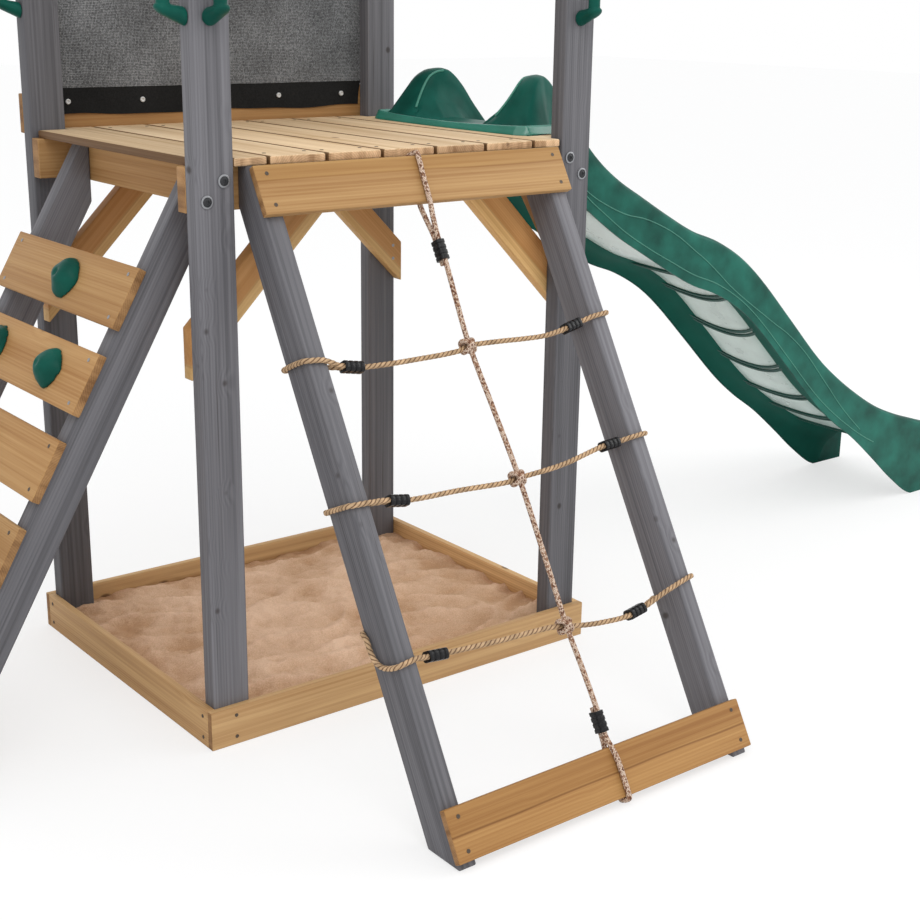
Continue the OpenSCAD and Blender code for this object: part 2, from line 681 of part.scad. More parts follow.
// Guard boards on the back posts' outer faces, and the mesh between the posts
module guard_rail(z) {
    color(natural)
    placed_box([-half_w, half_d, z], [half_w, half_d + guard_rail_t, z + guard_rail_h]);
}
module guard_rail_lower() { guard_rail(guard_lower_z); }
module guard_rail_upper() { guard_rail(guard_upper_z); }

mesh_half = half_w - post_w - mesh_side_gap;
hem_half = half_w - post_w - hem_side_gap;
hem_lower_z = deck_top + hem_lift;
hem_upper_z = guard_upper_z + guard_rail_h - hem_h;
module mesh_hem(z) {
    color(black)
    placed_box([-hem_half, half_d - hem_t, z], [hem_half, half_d, z + hem_h]);
}
module mesh_hems() {
    mesh_hem(hem_lower_z);
    mesh_hem(hem_upper_z);
}
module mesh_panel() {
    color("#5a6064")
    placed_box([-mesh_half, half_d - mesh_t, hem_lower_z + hem_h], [mesh_half, half_d, hem_upper_z]);
}
button_count = floor((half_w + hem_half - button_first - button_d) / button_pitch) + 1;
module hem_buttons() {
    color("#e8e8e6")
    for (z = [hem_lower_z, hem_upper_z]) for (i = [0:button_count - 1])
        translate([half_w - button_first - i * button_pitch, half_d - hem_t, z + hem_h / 2])
        rotate([90, 0, 0]) cylinder(d = button_d, h = button_h);
}

// A hand grip standing off from a face that looks towards -Y
module grip() {
    foot = grip_foot_d / 2;
    for (z = [foot, grip_len - foot])
        translate([0, 0, z]) {
            rotate([90, 0, 0]) cylinder(d = grip_foot_d, h = grip_reach);
            translate([0, -grip_reach, 0]) sphere(d = grip_foot_d);
        }
    translate([0, -grip_reach, foot]) cylinder(d = grip_bar_d, h = grip_len - grip_foot_d);
}
grip_z = deck_top + grip_lift;
module front_grip(side_x) {
    color(green) translate([side_x * (half_w - post_w / 2), -half_d, grip_z]) grip();
}
module side_grip(side_y) {
    color(green)
    translate([-half_w, side_y * (half_d - post_d / 2), grip_z]) rotate([0, 0, -90]) grip();
}
module grip_front_left() { front_grip(-1); }
module grip_front_right() { front_grip(1); }
module grip_side_front() { side_grip(-1); }
module grip_side_back() { side_grip(1); }

// Two bolts through each post into the front and back beams, on a diagonal
module at_bolts() {
    for (side_x = [-1, 1]) for (side_y = [-1, 1]) for (k = [-1, 1])
        translate([side_x * (half_w - post_w / 2 - k * bolt_offset), side_y * half_d,
                   beam_z + beam_h / 2 + k * bolt_offset])
        rotate([side_y < 0 ? 90 : -90, 0, 0]) children();
}
module bolt_washers() {
    color(zinc)
    at_bolts()
    difference() {
        cylinder(d = washer_d, h = washer_t);
        translate([0, 0, -overrun]) cylinder(d = washer_bore, h = washer_t + 2 * overrun);
    }
}
module bolt_heads() {
    color(black) at_bolts() cylinder(d = bolt_head_d, h = bolt_head_h);
}

// Screw heads standing just proud of the boards that they hold
module screw_head() {
    cylinder(d = screw_d, h = screw_h, $fn = 24);
}
module net_screws() {
    for (s = net_board_s) for (x = [-1, 1]) for (edge = [screw_edge, net_board_w - screw_edge])
        translate(net_point([net_shift + x * net_leg_x, s + edge, net_board_t]))
        rotate([net_angle, 0, 0]) screw_head();
}
module pit_screws() {
    for (z = [screw_edge, pit_board_h - screw_edge]) for (x = [-1, 1]) for (y = [-1, 1]) {
        translate([x * (half_w - post_w / 2), y * (half_d + pit_board_t), z])
        rotate([y < 0 ? 90 : -90, 0, 0]) screw_head();
        translate([x * (half_w + pit_board_t), y * (half_d - post_d / 2), z])
        rotate([0, x * 90, 0]) screw_head();
    }
}
module deck_screws() {
    for (i = [2:plank_count - 1]) for (y = [-1, 1]) for (k = [-1, 1])
        translate([(plank_left(i) + plank_right(i)) / 2 + k * (plank_w / 2 - screw_edge),
                   y * (half_d - post_d - beam_t / 2), deck_top])
        screw_head();
}
module brace_screws() {
    inner = half_d - post_d - brace_t;
    for (x = [-1, 1]) for (y = [-1, 1]) for (k = [1, 2])
        translate([x * (half_w - post_w / 3), y * inner, brace_foot_z + k * brace_plumb / 3 + post_w / 3])
        rotate([y < 0 ? -90 : 90, 0, 0]) screw_head();
}
module guard_screws() {
    for (rail_z = [guard_lower_z, guard_upper_z]) for (x = [-1, 1])
        for (edge = [screw_edge, guard_rail_h - screw_edge])
        translate([x * (half_w - post_w / 2), half_d + guard_rail_t, rail_z + edge])
        rotate([-90, 0, 0]) screw_head();
}
module wall_screws() {
    wall_frame()
    for (i = [1:6]) for (y = [-1, 1]) for (edge = [screw_edge, wall_plank_w - screw_edge])
        translate([-wall_plank_t, y * (half_d - wall_rail_inset - wall_rail_w / 2), wall_plank_s(i) + edge])
        rotate([0, -90, 0]) screw_head();
}
module slide_screws() {
    for (y = [-1, 1])
        translate([half_w - slide_lip_r, y * (slide_lip_w / 2 - screw_edge), deck_top + slide_bed_t])
        screw_head();
}
module wood_screws() {
    color(zinc) {
        slide_screws();
        net_screws();
        pit_screws();
        deck_screws();
        brace_screws();
        guard_screws();
        wall_screws();
    }
}

post_front_left();
post_front_right();
post_back_left();
post_back_right();
beam_front();
beam_back();
beam_left();
beam_right();
deck_plank_1();
deck_plank_2();
deck_plank_3();
deck_plank_4();
deck_plank_5();
deck_plank_6();
deck_plank_7();
brace_front_left();
brace_front_right();
brace_back_left();
brace_back_right();
side_brace_front_right();
side_brace_back_right();
pit_board_front();
pit_board_back();
pit_board_left();
pit_board_right();
sand_fill();
net_leg_left();
net_leg_right();
net_board_top();
net_board_bottom();
net_rope_upright();
net_rope_upper();
net_rope_middle();
net_rope_lower();
rope_clamps();
rope_knots();
slide();
wall_rail_front();
wall_rail_back();
wall_plank_1();
wall_plank_2();
wall_plank_3();
wall_plank_4();
wall_plank_5();
wall_plank_6();
wall_holds();
guard_rail_lower();
guard_rail_upper();
mesh_panel();
mesh_hems();
hem_buttons();
grip_front_left();
grip_front_right();
grip_side_front();
grip_side_back();
bolt_washers();
bolt_heads();
wood_screws();
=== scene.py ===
# %% [markdown]
# # A wooden climbing frame
# A four-post tower carries a raised deck over a sandpit. A rope net leans on its front, a wavy slide
# leaves on its right, a climbing wall leans on its left and a mesh guard closes its back. The solid
# model gives every size. Here each stick, rope and moulding gets its eased edges, its grain and its
# finish.

# %% Load the solid model
import math
import random
import bpy
import bmesh
from mathutils import Matrix, Vector, noise


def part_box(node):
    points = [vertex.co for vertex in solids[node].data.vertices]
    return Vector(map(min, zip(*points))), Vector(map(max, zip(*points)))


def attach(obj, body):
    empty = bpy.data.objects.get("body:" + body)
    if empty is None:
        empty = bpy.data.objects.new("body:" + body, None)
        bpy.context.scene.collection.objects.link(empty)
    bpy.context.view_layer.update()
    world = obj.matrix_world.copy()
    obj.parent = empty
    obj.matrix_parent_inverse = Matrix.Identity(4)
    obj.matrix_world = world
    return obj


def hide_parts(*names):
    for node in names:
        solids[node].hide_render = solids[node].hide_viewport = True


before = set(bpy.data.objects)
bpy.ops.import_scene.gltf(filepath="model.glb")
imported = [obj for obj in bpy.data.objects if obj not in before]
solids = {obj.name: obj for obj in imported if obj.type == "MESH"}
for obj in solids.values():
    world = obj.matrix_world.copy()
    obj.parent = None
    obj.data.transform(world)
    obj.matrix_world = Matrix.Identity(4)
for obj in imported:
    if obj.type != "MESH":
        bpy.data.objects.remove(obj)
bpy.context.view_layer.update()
scene = bpy.context.scene

# %% [markdown]
# ## The camera
# The photograph was taken at a grown-up's eye height, a little to the left of the tower. The camera
# stands where lines measured on the posts, boards and deck meet best. Its columns are its right, up
# and backward directions.

# %% Camera
def linked(name, data):
    """A new object of some data in the scene."""
    made = bpy.data.objects.new(name, data)
    scene.collection.objects.link(made)
    return made


camera_data = bpy.data.cameras.new("Camera")
camera_data.sensor_width = 36.0
camera_data.lens = 59.38
camera = linked("Camera", camera_data)
eye = Vector((-2.0483, -3.2296, 1.6441))
right = Vector((0.78811, -0.61538, 0.01379))
up = Vector((0.16891, 0.23775, 0.95653))
turn = Matrix((right, up, right.cross(up))).transposed().to_4x4()
camera.matrix_world = Matrix.Translation(eye) @ turn
scene.camera = camera
print("camera at", camera.location[:])

# %% [markdown]
# ## Light and floor
# A pale floor and an even sky stand in for a studio. One large soft lamp high above the front lifts
# the deck and the front faces, and a weaker one on the right keeps the slide readable. To the camera
# the floor is nearly white, and it still takes the object's soft shadow.

# %% Shader helpers
scene.view_settings.view_transform = "Standard"


def feed(tree, socket, value):
    """Link a value to a socket, or set it there, as an opaque colour where the socket takes one."""
    if isinstance(value, bpy.types.NodeSocket):
        tree.links.new(value, socket)
    else:
        socket.default_value = (*value, 1) if socket.type == "RGBA" else value


def add_node(tree, kind, inputs=None, **settings):
    """Add a shader node, set its options, and set or link its inputs."""
    made = tree.nodes.new(kind)
    for key, value in settings.items():
        setattr(made, key, value)
    for key, value in (inputs or {}).items():
        feed(tree, made.inputs[key], value)
    return made


def calculate(tree, operation, *values):
    """The result of one math node."""
    return add_node(tree, "ShaderNodeMath", dict(enumerate(values)), operation=operation).outputs[0]


def new_finish(name, rough=0.6, specular=0.5):
    """A material with its tree and its main shader."""
    finish = bpy.data.materials.new(name)
    finish.use_nodes = True
    shader = finish.node_tree.nodes["Principled BSDF"]
    shader.inputs["Roughness"].default_value = rough
    shader.inputs["Specular IOR Level"].default_value = specular
    return finish, finish.node_tree, shader


print("shader helpers ready")

# %% Floor, sky and lamps
def added(add, name, **settings):
    """A primitive with a name, added while nothing else is selected."""
    bpy.ops.object.select_all(action="DESELECT")
    add(**settings)
    made = bpy.context.active_object
    made.name = name
    return made


sky_strength, floor_glow, glow_share = 0.95, 1.1, 0.58
sky = bpy.data.worlds.new("Studio sky")
scene.world = sky
sky.use_nodes = True
tree = sky.node_tree
tree.nodes.clear()
path = add_node(tree, "ShaderNodeLightPath")
seen = calculate(tree, "MAXIMUM", path.outputs["Is Camera Ray"], path.outputs["Is Glossy Ray"])
seen = calculate(tree, "MAXIMUM", seen, path.outputs["Is Transmission Ray"])
soft = add_node(tree, "ShaderNodeBackground", {"Color": (0.99, 0.995, 1.0), "Strength": sky_strength})
white = add_node(tree, "ShaderNodeBackground", {"Color": (1, 1, 1), "Strength": 1.0})
both = add_node(tree, "ShaderNodeMixShader", {0: seen, 1: soft.outputs[0], 2: white.outputs[0]})
add_node(tree, "ShaderNodeOutputWorld", {"Surface": both.outputs[0]})

floor = added(bpy.ops.mesh.primitive_plane_add, "studio_floor", size=60, location=(1, 2, -0.0005))
finish, tree, shader = new_finish("studio floor", rough=0.9, specular=0.2)
shader.inputs["Base Color"].default_value = (0.86, 0.86, 0.86, 1)
path = add_node(tree, "ShaderNodeLightPath")
glow = add_node(tree, "ShaderNodeEmission", {"Color": (1, 1, 1), "Strength": floor_glow})
share = calculate(tree, "MULTIPLY", path.outputs["Is Camera Ray"], glow_share)
mixed = add_node(tree, "ShaderNodeMixShader", {0: share, 1: shader.outputs[0], 2: glow.outputs[0]})
tree.links.new(mixed.outputs[0], tree.nodes["Material Output"].inputs["Surface"])
floor.data.materials.append(finish)


def add_lamp(name, place, aim, size, power):
    """A square soft lamp that looks at a point."""
    lamp_data = bpy.data.lights.new(name, "AREA")
    lamp_data.size = size
    lamp_data.energy = power
    lamp = linked(name, lamp_data)
    lamp.location = place
    lamp.rotation_euler = (Vector(aim) - Vector(place)).to_track_quat("-Z", "Y").to_euler()


add_lamp("front key", (-1.8, -3.8, 5.4), (0, 0, 0.9), 3.5, 85)
add_lamp("right fill", (4.5, -2.5, 3.5), (0.8, 0, 0.8), 3.0, 60)
print("floor, sky and lamps are set")

# %% [markdown]
# ## The ropes first
# Four ropes make the net. Each is a fixed length that is doubled back round a leg or a board and held
# by a ribbed clamp, so both its ends are at the object. Their routes are the solid model's own points,
# in millimetres across, up the slope and out of the net's plane.

# %% Net coordinates and rope routes
net_angle = math.radians(60.5)
net_foot = Vector((0, -1.18, 0))
net_up = Vector((0, math.cos(net_angle), math.sin(net_angle)))
net_out = Vector((0, -math.sin(net_angle), math.cos(net_angle)))
route_middle = 160
leg_shift = 4.5
net_shift = -4


def on_net(point):
    """A place on the net from [across, up the slope, out of the plane] in millimetres."""
    x, s, off = point
    if abs(x) > route_middle:
        x += math.copysign(leg_shift, x) + net_shift
    return net_foot + Vector((x / 1000, 0, 0)) + s / 1000 * net_up + off / 1000 * net_out


upright_route = [
    [-12, 1235, 2], [-12, 1300, 2], [-15, 1345, -3], [-17, 1378, -6.5], [-17, 1440, -6.5],
    [-16, 1488, -6.5], [-14, 1496, -4], [-10, 1498, 3], [-6, 1498, 16], [-5, 1495, 23],
    [-6, 1488, 25.5], [-9, 1440, 25.5], [-12, 1378, 25.5], [-13, 1345, 20.5], [-12, 1300, 14.5],
    [-12, 1235, 14.5], [-14, 1150, 12.5], [-15, 1048, 10.5], [-3, 890, 10.5], [8, 735, 10.5],
    [11, 560, 10.5], [12, 396, 10.5], [17, 300, 12.5], [20, 214, 14.5], [21, 148, 14.5],
    [23, 118, 22], [25, 90, 25.5], [26, 18, 25.5], [26, 10.5, 23], [26, 7.6, 16],
    [26, 7.6, 4], [26, 9.2, -4], [26, 17, -6.5], [25, 90, -6.5], [23, 122, -3], [21, 148, 2],
    [20, 214, 2]]
upper_route = [
    [-275, 1036, -15.5], [-337, 1047, -15.5], [-352, 1054, -30], [-360, 1062, -52],
    [-361, 1070, -86], [-366, 1074, -94.5], [-374, 1076, -96.5], [-406, 1077, -96.5],
    [-414, 1077, -95], [-419, 1077, -88], [-419, 1074, -45], [-419, 1068, -3], [-416, 1066, 4],
    [-408, 1065, 6.5], [-380, 1062, 6.5], [-361, 1056, 3], [-337, 1047, -3], [-275, 1036, -3],
    [-128, 1035, -3], [-38, 1038, -3], [-15, 1044, -3], [12, 1047, -3], [94, 1045, -3],
    [150, 1042.5, -3], [217, 1042, -3], [277, 1050, -3], [336, 1062, -3], [352, 1065, 3],
    [371, 1068, 6.5], [404, 1071, 6.5], [414, 1072.5, 4], [419, 1073, -4], [419, 1075, -45],
    [419, 1076, -86], [416, 1076, -94], [406, 1075, -96.5], [376, 1072, -96.5],
    [364, 1070, -93], [361, 1068, -82], [357, 1065.5, -45], [348, 1063.5, -22], [336, 1062, -15.5],
    [277, 1050, -15.5]]
middle_route = [
    [-264, 741, -15.5], [-324, 751, -15.5], [-345, 754, -24], [-358, 757, -45],
    [-361, 761, -86], [-366, 762, -95], [-374, 763, -96.5], [-406, 764, -96.5],
    [-414, 764, -95], [-419, 764, -88], [-419, 760, -45], [-419, 756, -3], [-416, 755, 4],
    [-408, 754, 6.5], [-374, 753, 6.5], [-360, 752.5, 3], [-343, 752.5, -1], [-324, 751, -3],
    [-264, 741, -3], [-150, 737.5, -3], [-18, 731, -3], [8, 734, -3], [150, 742, -3],
    [275, 762, -3], [340, 766, -3], [354, 767, 3],
    [371, 768, 6.5], [404, 770, 6.5], [414, 770, 4], [419, 771, -4], [419, 772, -45],
    [419, 772, -86], [416, 772, -94], [406, 772, -96.5], [376, 770, -96.5],
    [364, 770, -93], [361, 769, -82], [358, 768, -45], [350, 767, -22], [340, 766, -15.5],
    [275, 762, -15.5]]
lower_route = [
    [-283, 416, -15.5], [-343, 421, -15.5], [-356, 428, -32], [-361, 440, -55],
    [-361, 462, -84], [-366, 478, -94], [-376, 490, -96.5], [-402, 502, -96.5],
    [-412, 505, -95], [-418, 501, -86], [-420, 488, -76], [-421.5, 465, -72], [-421.5, 442, -64],
    [-420.5, 427, -48], [-419, 420, -25], [-418, 418, -4], [-415, 418, 4], [-408, 419, 6.5],
    [-374, 423, 6.5], [-360, 423, 3], [-343, 421, -3], [-283, 416, -3],
    [-150, 408, -3], [-30, 404, -3], [12, 398, -3], [62, 388, -3], [120, 380.5, -3],
    [199, 376.5, -3], [258, 385.5, -3], [310, 400, 2],
    [362, 412, 6.5], [404, 420, 6.5], [414, 421, 4], [419, 420, -4], [419, 414, -45],
    [419, 408, -86], [416, 406, -94], [406, 402, -96.5], [376, 397.5, -96.5],
    [364, 396.5, -93], [360, 396, -82], [345, 394.5, -68], [300, 392, -36], [258, 385.5, -15.5],
    [199, 376.5, -15.5]]
print("rope points", len(upright_route), len(upper_route), len(middle_route), len(lower_route))

# %% [markdown]
# A laid rope is three strands that turn round each other, so its tube has a section with three lobes
# that turn as it goes, and the grooves between the lobes are painted dark, as painted shade. The upright
# rope is plaited from many thin strands in three colours, so its finish counts the diamonds of two
# crossing spirals and gives every diamond one colour, with painted shade between the strands. First
# come a few helpers for the patterns that all the finishes share.

# %% Pattern helpers
def remap(tree, value, low, high, to_low=0.0, to_high=1.0, smooth=False):
    """A value carried from one range to another."""
    kind = "SMOOTHSTEP" if smooth else "LINEAR"
    ends = {"Value": value, "From Min": low, "From Max": high, "To Min": to_low, "To Max": to_high}
    return add_node(tree, "ShaderNodeMapRange", ends, interpolation_type=kind).outputs[0]


def object_place(tree):
    """A point's place in its object's own coordinates."""
    return add_node(tree, "ShaderNodeTexCoord").outputs["Object"]


def noise_of(tree, place, scale, detail=2.0):
    """The value of a noise texture at a place."""
    inputs = {"Vector": place, "Scale": scale, "Detail": detail}
    return add_node(tree, "ShaderNodeTexNoise", inputs).outputs[0]


def colour_ramp(tree, value, *stops):
    """A colour from a value, through stops of (position, colour)."""
    ramp = add_node(tree, "ShaderNodeValToRGB", {0: value})
    while len(ramp.color_ramp.elements) < len(stops):
        ramp.color_ramp.elements.new(0.5)
    for element, (position, colour) in zip(ramp.color_ramp.elements, stops):
        element.position = position
        element.color = (*colour, 1)
    return ramp.outputs[0]


def brightened(tree, colour, value):
    """A colour with its brightness multiplied."""
    return add_node(tree, "ShaderNodeHueSaturation", {"Value": value, "Color": colour}).outputs[0]


def raise_grain(tree, shader, height, strength, distance):
    """Let a height pattern tilt the shader's normals."""
    bump = add_node(tree, "ShaderNodeBump", {"Height": height, "Strength": strength, "Distance": distance})
    tree.links.new(bump.outputs[0], shader.inputs["Normal"])


print("pattern helpers ready")

# %% Rope finishes
rope_wide = 0.012
lay_turns = 26
lay_lobes = 3
yarn_lay = -2.2
yarn_count = 9
plait_strands = 8
plait_slant = 180


def ridge_of(tree, turns):
    """A rounded ridge for each whole turn, with a groove between."""
    wave = calculate(tree, "SINE", calculate(tree, "MULTIPLY", turns, math.pi))
    return calculate(tree, "ABSOLUTE", wave)


def rope_coordinates(tree):
    """Metres along a rope and turns round it, from its own map."""
    where = add_node(tree, "ShaderNodeUVMap", uv_map="lay")
    parts = add_node(tree, "ShaderNodeSeparateXYZ", {0: where.outputs[0]})
    return parts.outputs[0], parts.outputs[1], object_place(tree)


def finish_laid_rope(name, pale, deep):
    """Laid rope whose grooves and yarns follow the turning lobes, with painted shade in the grooves."""
    finish, tree, shader = new_finish(name, rough=0.85, specular=0.25)
    along, about, place = rope_coordinates(tree)
    twist = calculate(tree, "MULTIPLY_ADD", along, lay_turns, about)
    lobe = ridge_of(tree, calculate(tree, "MULTIPLY", twist, lay_lobes))
    back_twist = calculate(tree, "MULTIPLY_ADD", along, yarn_lay * lay_turns, about)
    yarn = calculate(tree, "SINE", calculate(tree, "MULTIPLY", back_twist, 2 * math.pi * yarn_count))
    fuzz = noise_of(tree, place, 500.0, 3.0)
    blotch = noise_of(tree, place, 60.0)
    tint = calculate(tree, "MULTIPLY_ADD", yarn, 0.10, lobe)
    tint = calculate(tree, "MULTIPLY_ADD", fuzz, 0.5, tint)
    # The deep colour in the grooves between the lobes is painted shade.
    colour = colour_ramp(tree, calculate(tree, "MULTIPLY", tint, 0.7), (0.28, deep), (0.62, pale))
    shade = remap(tree, blotch, 0.3, 0.7, 0.72, 1.25)
    tree.links.new(brightened(tree, colour, shade), shader.inputs["Base Color"])
    raise_grain(tree, shader, tint, 0.6, 0.0012)
    return finish


def finish_plaited_rope(name, pale, middle, deep):
    """Plaited rope with one of three colours on each diamond of its plait, painted darker between the strands
    as painted shade.
    """
    finish, tree, shader = new_finish(name, rough=0.8, specular=0.25)
    along, about, place = rope_coordinates(tree)
    cells, ridges = [], []
    for sense in (1, -1):
        round_it = calculate(tree, "MULTIPLY", about, plait_strands)
        spiral = calculate(tree, "MULTIPLY_ADD", along, sense * plait_slant, round_it)
        cells.append(calculate(tree, "FLOOR", spiral))
        ridges.append(ridge_of(tree, spiral))
    cell = add_node(tree, "ShaderNodeCombineXYZ", {0: cells[0], 1: cells[1]})
    dice = add_node(tree, "ShaderNodeTexWhiteNoise", {"Vector": cell.outputs[0]}, noise_dimensions="2D")
    ridge = calculate(tree, "MULTIPLY", ridges[0], ridges[1])
    colour = colour_ramp(tree, dice.outputs["Value"], (0.10, deep), (0.34, middle), (0.62, pale))
    fuzz = noise_of(tree, place, 600.0)
    # Darker between the crossing strands: painted shade.
    shade = calculate(tree, "MULTIPLY_ADD", fuzz, 0.25, remap(tree, ridge, 0.0, 0.6, 0.42, 0.95))
    tree.links.new(brightened(tree, colour, shade), shader.inputs["Base Color"])
    raise_grain(tree, shader, ridge, 0.8, 0.0016)
    return finish


straw_rope = finish_laid_rope("straw laid rope", pale=(0.52, 0.35, 0.205), deep=(0.13, 0.066, 0.033))
pale_rope = finish_plaited_rope("pale plaited rope", pale=(0.78, 0.60, 0.47), middle=(0.48, 0.27, 0.165),
                                deep=(0.19, 0.08, 0.045))
print("rope finishes", straw_rope.name, pale_rope.name)

# %% Rope helpers
def set_on_frame(piece, node=None):
    """Let a finished piece ride the frame in place of a solid, whose part is hidden."""
    if node:
        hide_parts(node)
    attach(piece, "root")


def smooth_route(points, step):
    """Points every step along a smooth curve through the route."""
    fine = []
    last = len(points) - 1
    for i in range(last):
        a, b = points[max(i - 1, 0)], points[i]
        c, d = points[i + 1], points[min(i + 2, last)]
        span = (c - b).length
        lead = (c - a) * span / max(span + (b - a).length, 1e-6)
        tail = (d - b) * span / max((d - c).length + span, 1e-6)
        count = max(2, round(span / step))
        for k in range(count):
            t = k / count
            h = 1 - 3 * t * t + 2 * t ** 3
            pull = (t - 2 * t * t + t ** 3) * lead + (t ** 3 - t * t) * tail
            fine.append(h * b + (1 - h) * c + pull)
    fine.append(points[last])
    return fine


print("straight steps on the upper rope", len(upper_route) - 1)

# %% Make the ropes
rope_step, rope_sides = 0.003, 18
groove_share, lobe_share = 0.78, 0.24


def make_rope(name, route, node, finish, laid):
    """A tube along the route, whose lobed section turns as the lay does."""
    line = smooth_route([on_net(p) for p in route], rope_step)
    sides, rings = rope_sides, len(line)
    side = (line[1] - line[0]).orthogonal().normalized()
    done, places, coords = 0.0, [], []
    for i, point in enumerate(line):
        ahead = (line[min(i + 1, rings - 1)] - line[max(i - 1, 0)]).normalized()
        side = (side - ahead * side.dot(ahead)).normalized()
        other = ahead.cross(side)
        if i:
            done += (point - line[i - 1]).length
        for k in range(sides):
            angle = 2 * math.pi * k / sides
            lobe = abs(math.sin(lay_lobes / 2 * (angle + 2 * math.pi * lay_turns * done)))
            reach = rope_wide / 2 * (groove_share + lobe_share * lobe if laid else 1.0)
            places.append(point + reach * (math.cos(angle) * side + math.sin(angle) * other))
            coords.append((done, k / sides))
    faces = []
    for i in range(0, (rings - 1) * sides, sides):
        for k in range(sides):
            after = (k + 1) % sides
            faces.append((i + k, i + after, i + sides + after, i + sides + k))
    faces += [tuple(reversed(range(sides))), tuple(range((rings - 1) * sides, rings * sides))]
    mesh = bpy.data.meshes.new(name)
    mesh.from_pydata(places, [], faces)
    lay = mesh.uv_layers.new(name="lay")
    for face in mesh.polygons:
        ends = [mesh.loops[c].vertex_index for c in face.loop_indices]
        wraps = max(coords[v][1] for v in ends) - min(coords[v][1] for v in ends) > 0.5
        for corner, v in zip(face.loop_indices, ends):
            along, about = coords[v]
            lay.data[corner].uv = (along, about + (1 if wraps and about < 0.5 else 0))
    mesh.polygons.foreach_set("use_smooth", [True] * len(mesh.polygons))
    mesh.materials.append(finish)
    rope = linked(name, mesh)
    set_on_frame(rope, node)
    print(name, "length", round(done, 3), "m")


make_rope("upright_rope", upright_route, "net_rope_upright", pale_rope, False)
for level, route in (("upper", upper_route), ("middle", middle_route), ("lower", lower_route)):
    make_rope(level + "_rope", route, "net_rope_" + level, straw_rope, True)

# %% [markdown]
# ## Timber finishes
# All the sticks are softwood. A sawn board shows calm, nearly straight lines with soft bands of
# colour, fine fibres, and small dark knots that push the lines aside. The finish is a solid one. It
# reads an attribute named grain, which holds every point's place along, across and into its own
# stick, so that each piece has its own cut of the tree.

# %% Timber finish
band_unit = 0.314  # a wave texture of scale 1 repeats every 0.314 m
ring_gap = 0.005
timber_rough = 0.6
ring_share = 0.15
heart_wander, line_half = 0.016, 0.0035


def stretched(tree, place, factors):
    """A place with its three parts multiplied."""
    return add_node(tree, "ShaderNodeVectorMath", {0: place, 1: factors}, operation="MULTIPLY").outputs[0]


def blend(tree, factor, first, second, kind="MIX"):
    """Two colours mixed by a factor."""
    inputs = {0: factor, 6: first, 7: second}
    return add_node(tree, "ShaderNodeMix", inputs, data_type="RGBA", blend_type=kind).outputs[2]


